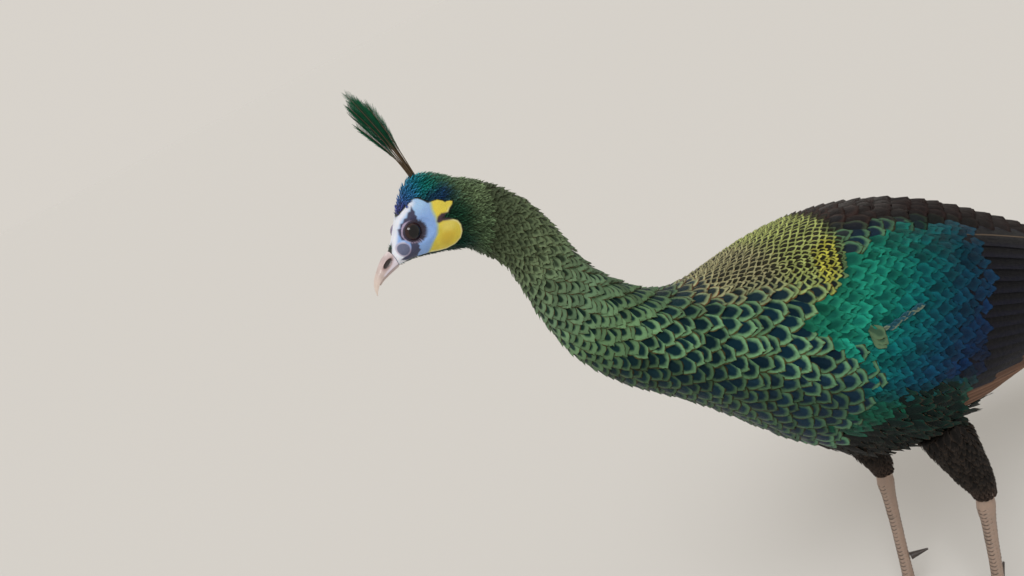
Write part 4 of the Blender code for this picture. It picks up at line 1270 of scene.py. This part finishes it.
# One small tan feather of the left wing has slipped out of its row, and behind it a row of lacy
# tan and blue tips runs up and back over the coverts.
stray = Coat(3.0, 5.0)
stray.add(outer, np.array([3.97, 3.985, 4.0]), np.array([0.222, 0.227, 0.232]), [0.019, 0.021, 0.018], 0.0125,
          vane_shape(7, 6, root=0.5, widest=0.6, tip=0.3, bend=0.14), [0.35, 0.5, 0.62], 0.0005, 0.0020,
          dip=0.03, size=0.02, hearts=[tone(74, 108, 84)] * 3, rims=[tone(110, 142, 108)] * 3,
          fray=0.05, seed=24)
count = LACY_TIPS
part = np.linspace(0, 1, count)
lacy = np.where((np.arange(count) % 3 == 0)[:, None], tone(150, 170, 150), tone(60, 120, 140))
stray.add(outer, 4.05 + 0.21 * part + spread(chance, count, 0.012),
          0.228 - 0.028 * part + spread(chance, count, 0.004), 0.0085, 0.0042, small_scale,
          -0.5 + spread(chance, count, 0.8), 0.0003, 0.0024, size=0.006,
          hearts=lacy * 0.6, rims=lacy, fray=0.1, seed=25)
stray.finish("stray_feathers", feather_look(
    "stray_feathers", ring=(0.3, 0.7), fringe=(0.98, 1.1), metal=0.2, rough=0.55,
), "wing_covert")


QUILL = dict(ring=(0.55, 0.9), fringe=(0.98, 1.1), fringe_colour=tone(18, 16, 22), barbs=70.0, shaft=0.8)


def lay_quills(name, look, slot, count, root_span, tip_span, from_p, to_p, width, heart, rim, seed, lift=0.0):
    """Long feathers side by side on both folded wings, the upper ones over the lower ones."""
    coat = Coat(4.0, 6.0)
    chance = np.random.default_rng(seed)
    part = np.linspace(0, 1, count)
    for side in (1, -1):
        start_a, end_a = (side * np.interp(part, (0, 1), span) for span in (root_span, tip_span))
        end_p = np.interp(part, np.linspace(0, 1, len(to_p)), to_p) + spread(chance, count, 0.03)
        start_p = np.full(count, from_p)
        coat.add(outer, start_p, start_a, 0.11 * (end_p - start_p), width,
                 vane_shape(16, 6, root=0.8, widest=0.9, tip=0.5, bend=0.06), sink=0.0030,
                 lift=lift + 0.0012 * (1 - part), tilt=0.05 * side, size=(0.02, 0.4),
                 hearts=heart * shades(count, seed), rims=rim * shades(count, seed + 1),
                 ends=np.stack((end_p, end_a), 1), fray=0.004, seed=seed)
    coat.finish(f"wing_{name}", look, slot, *(f"wing_{side}_{name}" for side in PAIR))


lay_quills("secondaries", feather_look("secondary_feathers", metal=0.12, rough=0.50, **QUILL),
           "wing_secondary", 14, (0.100, 0.330), (0.100, 0.318), 4.42, (5.60, 5.70, 5.70, 5.66), 0.034,
           tone(8, 9, 17), tone(15, 17, 36), 31)
lay_quills("primaries", feather_look("primary_feathers", metal=0.0, rough=0.55, **QUILL),
           "wing_primary", 5, (0.342, 0.370), (0.326, 0.356), 4.56, (5.70, 5.80, 5.83), 0.019,
           tone(116, 84, 68), tone(150, 114, 92), 33, 0.0010)

# ---- Thighs and tail ----
# Soft dark feathers hang from the skin of the thighs down to the hock. The true tail is a flat fan of
# stiff brown feathers, rooted in the rump, that lies hidden under the train's root.
def straight_axis(name, way, left, levels=7):
    """Axis of a solid along a straight way, through the middles of its slices."""
    corners = node_mesh(name)[0]
    way, left = unit(np.array(way, float)), unit(np.array(left, float))
    reach = corners @ way
    steps = np.linspace(reach.min(), reach.max(), levels)
    middles = []
    for step in steps:
        near = corners[abs(reach - step) < (steps[-1] - steps[0]) / levels]
        middle = (near.min(0) + near.max(0)) / 2
        middles.append(middle + way * (step - middle @ way))
    middles = np.array(middles)

    def axis(places):
        part = np.clip(places, 0.012, 0.988) * (levels - 1)
        middle = np.stack([np.interp(part, np.arange(levels), middles[:, k]) for k in range(3)], -1)
        return middle, np.broadcast_to(left, middle.shape), np.broadcast_to(np.cross(left, way), middle.shape)

    return axis


def limb_form(name, way, left, around=3.0):
    return Form(outer_face([name], 0.0, 1.0, straight_axis(name, way, left), 48, 1.0, around, 0.15), 0.0, 1.0)


soft_dark = feather_look("soft_dark_feathers", ring=(0.4, 0.9), fringe=(0.9, 1.05), metal=0.15, rough=0.6,
                         fringe_colour=tone(66, 54, 44), barbs=9.0)
soft_shape = vane_shape(5, 4, root=0.5, bend=0.35)
for side in PAIR:
    form = limb_form(f"thigh_{side}", (0, 0, -1), (1, 0, 0), 5.0)
    roots = feather_roots(form, graded((0, 0.0062)), graded((0, 0.0068)), 0.0, 0.97)
    chance = np.random.default_rng(71)
    p, a = (roots + spread(chance, roots.shape, (0.02, 0.012))).T
    count, low = len(p), ease((p - 0.6) / 0.35)
    coat = Coat(0.0, 1.3)
    shade = shades(count, 72, 0.3)
    coat.add(form, np.clip(p, 0, 1), a, 0.021 - 0.009 * low, 0.0100 - 0.003 * low, soft_shape,
             spread(chance, count, 0.35), 0.0042, 0.0002 + 0.0010 * chance.random(count) + 0.0006 * low,
             dip=0.08, curl=-0.22 * low[:, None], hearts=lay(tone(24, 22, 21), tone(46, 37, 33), low) * shade,
             rims=lay(tone(46, 41, 38), tone(84, 68, 60), low) * shade, fray=0.12, seed=73)
    above = Form(thigh_tube(side)[::-1][:13], 0.0, 1.0)
    p, a = feather_roots(above, graded((0, 0.009)), graded((0, 0.009)), 0.0, 1.0).T
    count = len(p)
    shade = shades(count, 74, 0.3)
    coat.add(above, p, a, 0.030, 0.014, soft_shape, spread(chance, count, 0.4), 0.001,
             0.003 + 0.003 * chance.random(count), dip=0.08, hearts=tone(14, 24, 22) * shade,
             rims=tone(26, 42, 36) * shade, fray=0.12, seed=77)
    coat.finish(f"thigh_feathers_{side}", soft_dark, "thigh_feather")

# Soft dark down hangs from the belly and flanks round the tops of the thighs.
chance = np.random.default_rng(78)
p, a = feather_roots(outer, graded((0, 0.011)), graded((0, 0.012)), 4.12, 4.95).T
p, a = p + spread(chance, len(p), 0.06), a + spread(chance, len(p), 0.012)
low_down = from_back(a) > 0.64 + 0.16 * ease((p - 4.45) / 0.25)
p, a = p[low_down], a[low_down]
t, count = from_back(a), len(p)
stand = ease((t - 0.62) / 0.14) * ease((p - 4.05) / 0.3) * ease((5.05 - p) / 0.3)
shade, below = shades(count, 79, 0.3), ease((t - 0.7) / 0.2)
down = Coat(4.0, 5.6)
down.add(outer, p, a, 0.038, 0.016, soft_shape, spread(chance, count, 0.5), 0.0030,
         0.0006 + 0.0110 * stand * (0.5 + 0.5 * chance.random(count)), dip=0.08,
         hearts=lay(tone(8, 28, 26), tone(16, 18, 18), below) * shade,
         rims=lay(tone(12, 52, 44), tone(26, 30, 28), below) * shade, fray=0.12, seed=80)
down.finish("belly_down", soft_dark, "body_feather")

TAIL_FEATHERS = 18


def lay_tail():
    """A fan pressed to the under side of the train, its outer feathers under the inner ones."""
    part = np.linspace(-1, 1, TAIL_FEATHERS)
    part = part[np.argsort(-abs(part), kind="stable")]
    coat = Coat(5.8, 7.4)
    coat.add(outer, np.full(TAIL_FEATHERS, 5.95), 0.5 + 0.07 * part, 0.30, 0.034,
             vane_shape(16, 6, root=0.6, widest=0.9, tip=0.6, bend=0.05), sink=0.016,
             lift=0.0035 + 0.0035 * (1 - abs(part)), tilt=0.06 * np.sign(part), size=(0.03, 0.5),
             hearts=tone(46, 34, 28) * shades(TAIL_FEATHERS, 75),
             rims=tone(78, 60, 46) * shades(TAIL_FEATHERS, 76),
             ends=np.stack((7.18 - 0.14 * part**2, 0.5 + 0.17 * part), 1), parts=3)
    coat.finish("tail_feathers", feather_look(
        "tail_quills", ring=(0.6, 0.9), fringe=(0.97, 1.1), metal=0.0, rough=0.6, barbs=60.0, shaft=0.8,
    ), "tail_feather", "tail")


lay_tail()

# ---- Scales and claws of the feet ----
# Horny shields grow on the bare skin and overlap down the front and back of each shank and along
# the top of each toe. The claws and the spur are dark horn on the bone.
SHIELD_STEP, TOE_STEP = 0.0052, 0.0046


def lay_scutes(side):
    coat = Coat(0.0, 1.3)
    shield = vane_shape(4, 4, root=0.86, widest=0.62, tip=0.66, bend=0.16)
    shank = limb_form(f"shank_{side}", (0, 0, -1), (1, 0, 0))
    low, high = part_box(f"shank_{side}")
    steps = np.arange(0.02, 0.99, SHIELD_STEP / (high - low).z)
    for turn, shift, narrow in ((0.5, 0.0, 1), (0.06, 0.25, 0.42), (0.94, 0.75, 0.42)):
        p = steps + shift * (steps[1] - steps[0])
        size = ladder(p, (0, 1.35), (0.15, 1.0), (0.85, 1.0), (1, 1.25))
        shade = shades(len(p), 81, 0.15)
        coat.add(shank, p, np.full(len(p), turn), 0.0080, 0.0190 * size * narrow, shield, sink=0.0003,
                 lift=0.0005, dip=0.01, hearts=tone(150, 134, 122) * shade, rims=tone(92, 78, 72) * shade,
                 size=0.012, parts=4)
    for toe in TOES:
        name = f"{toe}_{side}"
        corners, hub = node_mesh(name)[0], sum(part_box(f"foot_{side}"), Vector()) / 2
        flat = (corners - np.array(hub)) * (1, 1, 0)
        way = unit(flat[np.linalg.norm(flat, axis=1).argmax()])
        form = limb_form(name, way, np.cross(way, (0, 0, 1.0)))
        length = (corners @ way).max() - (corners @ way).min()
        p = np.arange(0.02, 0.98, TOE_STEP / length)
        for turn, wide in ((0.0, 0.0092), (0.13, 0.0050), (0.87, 0.0050)):
            shade = shades(len(p), 82, 0.15)
            coat.add(form, p, np.full(len(p), turn), 0.0066, wide * ladder(p, (0, 1.1), (1, 0.75)), shield,
                     sink=0.0003, lift=0.0005, dip=0.03, hearts=tone(104, 90, 82) * shade,
                     rims=tone(142, 126, 116) * shade, size=0.012)
    coat.finish(f"leg_scales_{side}", leg_shields, "leg_scale")


leg_shields = feather_look("leg_shields", ring=(0.62, 0.86), fringe=(1.0, 1.2), metal=0.0, rough=0.45,
                           fringe_colour=tone(176, 162, 150), barbs=1.0, depth=0.00010)
for side in PAIR:
    lay_scutes(side)


def blotched(name, grain_scale, depth, blotch_scale, dark, light, rough):
    """A dull surface of two colours in blotches."""
    look = Look(name, Roughness=rough)
    look.give(Base_Color=look.mix(look.grain(grain_scale, depth, blotch_scale), dark, light))
    return look


claw_horn = blotched("dark_horn", 900.0, 0.0002, 140.0, tone(26, 22, 22), tone(74, 64, 60), 0.35)
for name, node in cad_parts.items():
    if name.startswith(("claw_", "spur_")):
        node.data.materials.clear()
        node.data.materials.append(claw_horn.material)

# ---- Train ----
# Some two hundred long coverts, rooted in the rump, lie in tiers over the back and behind the bird.
# Each has a pale shaft, loose bronze-green barbs all along it and an eye spot near its tip. They lie
# on a closed bed that stands for the same feathers' lower parts, coloured darker as painted shade inside the
# train.
TRAIN_START, TRAIN_STOP = 6.0, 10.45
TRAIN_DEPTH = 0.010
BED_ROWS, BED_SIDES = 60, 48
BARB_STEP, BARB_LENGTH, BARB_WIDTH = 0.0042, 0.034, 0.0026
SHAFT_HALF = 0.0011
SPOT_LENGTH, SPOT_WIDTH = 0.048, 0.034
PLUME_LENGTH = 0.26
TRAIN_HALF = 0.105
RIM_PLACE, RIM_ROWS, RIM_STEP = 10.2, 4, 0.13


def train_bed():
    """A closed tube inside the train, dark with painted shade."""
    steps = np.linspace(TRAIN_START, TRAIN_STOP - 0.30, BED_ROWS)
    grid_p, grid_a = np.meshgrid(steps, np.arange(BED_SIDES) / BED_SIDES, indexing="ij")
    points = outer.point(grid_p, grid_a)
    middle = points.mean(1, keepdims=True)
    points = points - outer.normal(grid_p, grid_a) * TRAIN_DEPTH * np.array((1, 1, 0.55))
    points = middle + (points - middle) * (1 - 0.94 * ease((grid_p - 9.55) / 0.60))[..., None]
    points[..., 2] = np.maximum(points[..., 2], 0.001)
    return new_object("train_bed", *closed_tube(points))


def plume_shape(spotted):
    """A train feather of PLUME_LENGTH: shaft, barbs and eye spot, each with its place on the map."""
    along = np.linspace(0, 1 - 0.10, 15)
    line, half = np.stack((0 * along, along), 1), np.stack((SHAFT_HALF * (1.2 - along), 0 * along), 1)
    strips = [strip(line, half, (0.5, 0.02))]
    bend = np.array((0, 0.5, 1.0))
    for k in range(int(PLUME_LENGTH * 0.94 / BARB_STEP)):
        root = (k + 1) * BARB_STEP / PLUME_LENGTH
        fan = ease((root - 0.72) / 0.22)
        slant = radians(38 - 22 * fan)
        for side in (-1, 1):
            reach = BARB_LENGTH * (0.72 + 0.28 * sin(7.1 * k + side)) * (1 - 0.25 * fan)
            x = side * (0.0006 + reach * np.sin(slant) * (bend + 0.25 * bend * (1 - bend)))
            y = root + reach * np.cos(slant) * bend / PLUME_LENGTH
            half = BARB_WIDTH / 2 * np.array((1.0, 1.0, 0.25))
            half = np.stack((half * cos(slant), -side * half * sin(slant) / PLUME_LENGTH), 1)
            marked = np.stack((0.5 + side * (np.repeat(bend, 2) * 0.5), np.full(6, 0.10 + 0.2 * root)), 1)
            strips.append(strip(np.stack((x, y), 1), half, marked))
    if spotted:
        middle = 1 - 0.5 * SPOT_LENGTH / PLUME_LENGTH - 0.02
        u, v = np.meshgrid(np.linspace(-1, 1, 9), np.linspace(-1, 1, 10))
        x = 0.5 * SPOT_WIDTH * u * np.sqrt(1 - v**2 / 2)
        y = middle + 0.5 * SPOT_LENGTH * v * np.sqrt(1 - u**2 / 2) / PLUME_LENGTH
        up = 0.5 + (y - middle) * PLUME_LENGTH / SPOT_LENGTH * 0.98
        marked = np.stack((0.5 + x / SPOT_WIDTH * 0.98, 0.5 + 0.5 * up), -1).reshape(-1, 2)
        strips.append((np.stack((x, y), -1).reshape(-1, 2), marked, grid_faces(10, 9)))
    points, marks, faces = joined(strips)
    return points[:, 0] * 2, points[:, 1], marks, faces


def plume_look():
    """Bronze-green barbs, and the rings of the eye spot on the upper half of the feather's map."""
    look = Look("train_feathers", Metallic=0.5, Roughness=0.42, Specular_IOR_Level=0.2)
    do, noise = look.sum, look.noise(180.0)
    u, v = look.map_places("vane")
    across, along = do("MULTIPLY_ADD", u, 2.0, -1.0), do("MULTIPLY_ADD", v, 4.0, -3.0)
    wobble = do("MULTIPLY_ADD", noise, 0.14, -0.07)
    spot = rim = look.stored("rim")
    for middle, size, chip in ((0.0, 0.86, (150, 170, 70)), (-0.02, 0.74, (150, 104, 46)),
                               (-0.08, 0.50, (18, 138, 140)), (-0.12, 0.28, (24, 22, 84))):
        far = do("ADD", do("POWER", across, 2.0), do("POWER", do("SUBTRACT", along, middle), 2.0))
        ring = look.step(do("ADD", do("SQRT", far), wobble), size + 0.04, size - 0.04)
        spot = look.mix(ring, spot, tone(*chip))
    colour = look.mix(look.step(v, 0.49, 0.50), look.mix(noise, look.stored("heart"), rim), spot)
    slanted = do("SUBTRACT", v, do("MULTIPLY", do("ABSOLUTE", across), 0.3))
    wave = do("SINE", do("MULTIPLY", slanted, 2 * pi * 60))
    look.give(Base_Color=colour, Normal=look.bump(wave, 0.0004, 0.6))
    return look


def train_edge(p, a):
    """The rounded outline of the train's end: where its last tips lie at that distance from the middle."""
    return 10.42 - 0.55 * (outer.point(p, a)[..., 0] / TRAIN_HALF) ** 2


def lay_train():
    tips = np.concatenate([feather_roots(outer, graded((0, 0.046)), graded((0, 0.036)), 6.7, 9.2),
                           feather_roots(outer, graded((0, 0.026)), graded((0, 0.024)), 9.2, 10.42)])
    chance = np.random.default_rng(41)
    tips += spread(chance, tips.shape, (0.11, 0.026))
    room = train_edge(*tips.T) - tips[:, 0]
    tips = tips[room > np.where(from_back(tips[:, 1]) < 0.60, 0.40, 0.55)]
    turns = np.linspace(-0.25, 0.25, 101)
    breadth = outer.point(np.full(len(turns), RIM_PLACE), turns)[:, 0]
    for row in range(RIM_ROWS):
        across = np.interp(np.linspace(-0.92, 0.92, 9 - row % 2) * breadth.max(), breadth, turns)
        edge = train_edge(np.full(len(across), RIM_PLACE), across)
        tips = np.vstack((tips, np.stack((edge - RIM_STEP * row, across), 1)))
    tips = tips[np.argsort(tips[:, 0])[::-1]]
    count, (p, a) = len(tips), tips.T
    t = from_back(a)
    back = steps_on(outer, p, a, PLUME_LENGTH)[0]
    roots = np.stack((np.maximum(p - back, 5.8), a + spread(chance, count, 0.03)), 1)
    length = PLUME_LENGTH * (p - roots[:, 0]) / back
    near_end = ease((p - train_edge(p, a) + 0.5) / 0.5)
    lift = 0.0004 + 0.0016 * chance.random(count) - 0.007 * near_end * (t < 0.6)
    under = ease((t - 0.62) / 0.1)
    hearts = lay(tone(62, 66, 26), tone(60, 50, 32), under) * shades(count, 42, 0.25)
    rims = lay(tone(106, 124, 46), tone(84, 70, 46), under) * shades(count, 43, 0.25)
    plain_ones = chance.random(count) < 0.2 + 0.5 * under
    coat = Coat(5.8, 10.5)
    for spotted, mine in ((True, ~plain_ones), (False, plain_ones)):
        coat.add(outer, *roots[mine].T, length[mine], 1.0, plume_shape(spotted), sink=0.0065, lift=lift[mine],
                 size=(0.03, 0.03), hearts=hearts[mine], rims=rims[mine], ends=tips[mine], seed=44, parts=5)
    coat.finish("train_feathers", plume_look(), "train_feather", *LENGTHS[7:])


# the bed's dark olive blotches are painted shade inside the train
bed_look = blotched("train_bed", 300.0, 0.001, 40.0, tone(40, 36, 20), tone(66, 58, 34), 0.7)
hand_in(train_bed(), bed_look.material, "train_feather")
lay_train()

# ---- Studio ----
# A flat pale floor, two broad soft lamps under a pale sky, and a camera that looks down at the bird
# from the left of its head, held at a slant.
CAMERA_PLACE = Vector((0.65, -1.0441, 0.89))
CAMERA_TURN, CAMERA_DROP, CAMERA_SLANT = radians(15.0), radians(19.4), radians(27.5)
LENS_WIDTHS = 850 / 1024
FLOOR_SIDE = 60.0


def add_camera():
    c, s, flat = cos(CAMERA_TURN), sin(CAMERA_TURN), cos(CAMERA_DROP)
    ahead = Vector((-c * flat, s * flat, -sin(CAMERA_DROP)))
    level = Vector((s, c, 0))
    above = level.cross(ahead)
    across = level * cos(CAMERA_SLANT) - above * sin(CAMERA_SLANT)
    upward = level * sin(CAMERA_SLANT) + above * cos(CAMERA_SLANT)
    data = bpy.data.cameras.new("camera")
    data.sensor_width = 36.0
    data.lens = data.sensor_width * LENS_WIDTHS
    data.clip_start = 0.01
    camera = bpy.data.objects.new("camera", data)
    bpy.context.scene.collection.objects.link(camera)
    turn = Matrix((across, upward, -ahead)).transposed()
    camera.matrix_world = Matrix.Translation(CAMERA_PLACE) @ turn.to_4x4()
    bpy.context.scene.camera = camera


def add_lamp(name, place, power, softness, colour=(1, 1, 1)):
    """A broad far lamp that shines from a place towards the bird."""
    data = bpy.data.lights.new(name, "SUN")
    data.energy, data.angle, data.color = power, radians(softness), colour
    lamp = bpy.data.objects.new(name, data)
    bpy.context.scene.collection.objects.link(lamp)
    lamp.rotation_euler = Vector(place).to_track_quat("Z", "Y").to_euler()


add_camera()
add_lamp("key", (1.3, -1.0, 2.3), 1.35, 25)
add_lamp("back", (-1.8, 0.4, 1.4), 0.45, 30, (1, 0.98, 0.95))
floor_look = Look("floor", Base_Color=(0.594, 0.583, 0.564), Roughness=0.9, Specular_IOR_Level=0.1)
corners = [(x * FLOOR_SIDE, y * FLOOR_SIDE, 0) for x, y in ((-1, -1), (1, -1), (1, 1), (-1, 1))]
floor = new_object("floor", corners, [[[0, 1, 2, 3]]])
floor.data.materials.append(floor_look.material)
world = bpy.data.worlds.new("studio")
world.use_nodes = True
sky = world.node_tree.nodes["Background"].inputs
sky["Color"].default_value = (0.845, 0.800, 0.738, 1)
sky["Strength"].default_value = 0.81
bpy.context.scene.world = world
bpy.context.scene.view_settings.view_transform = "Standard"
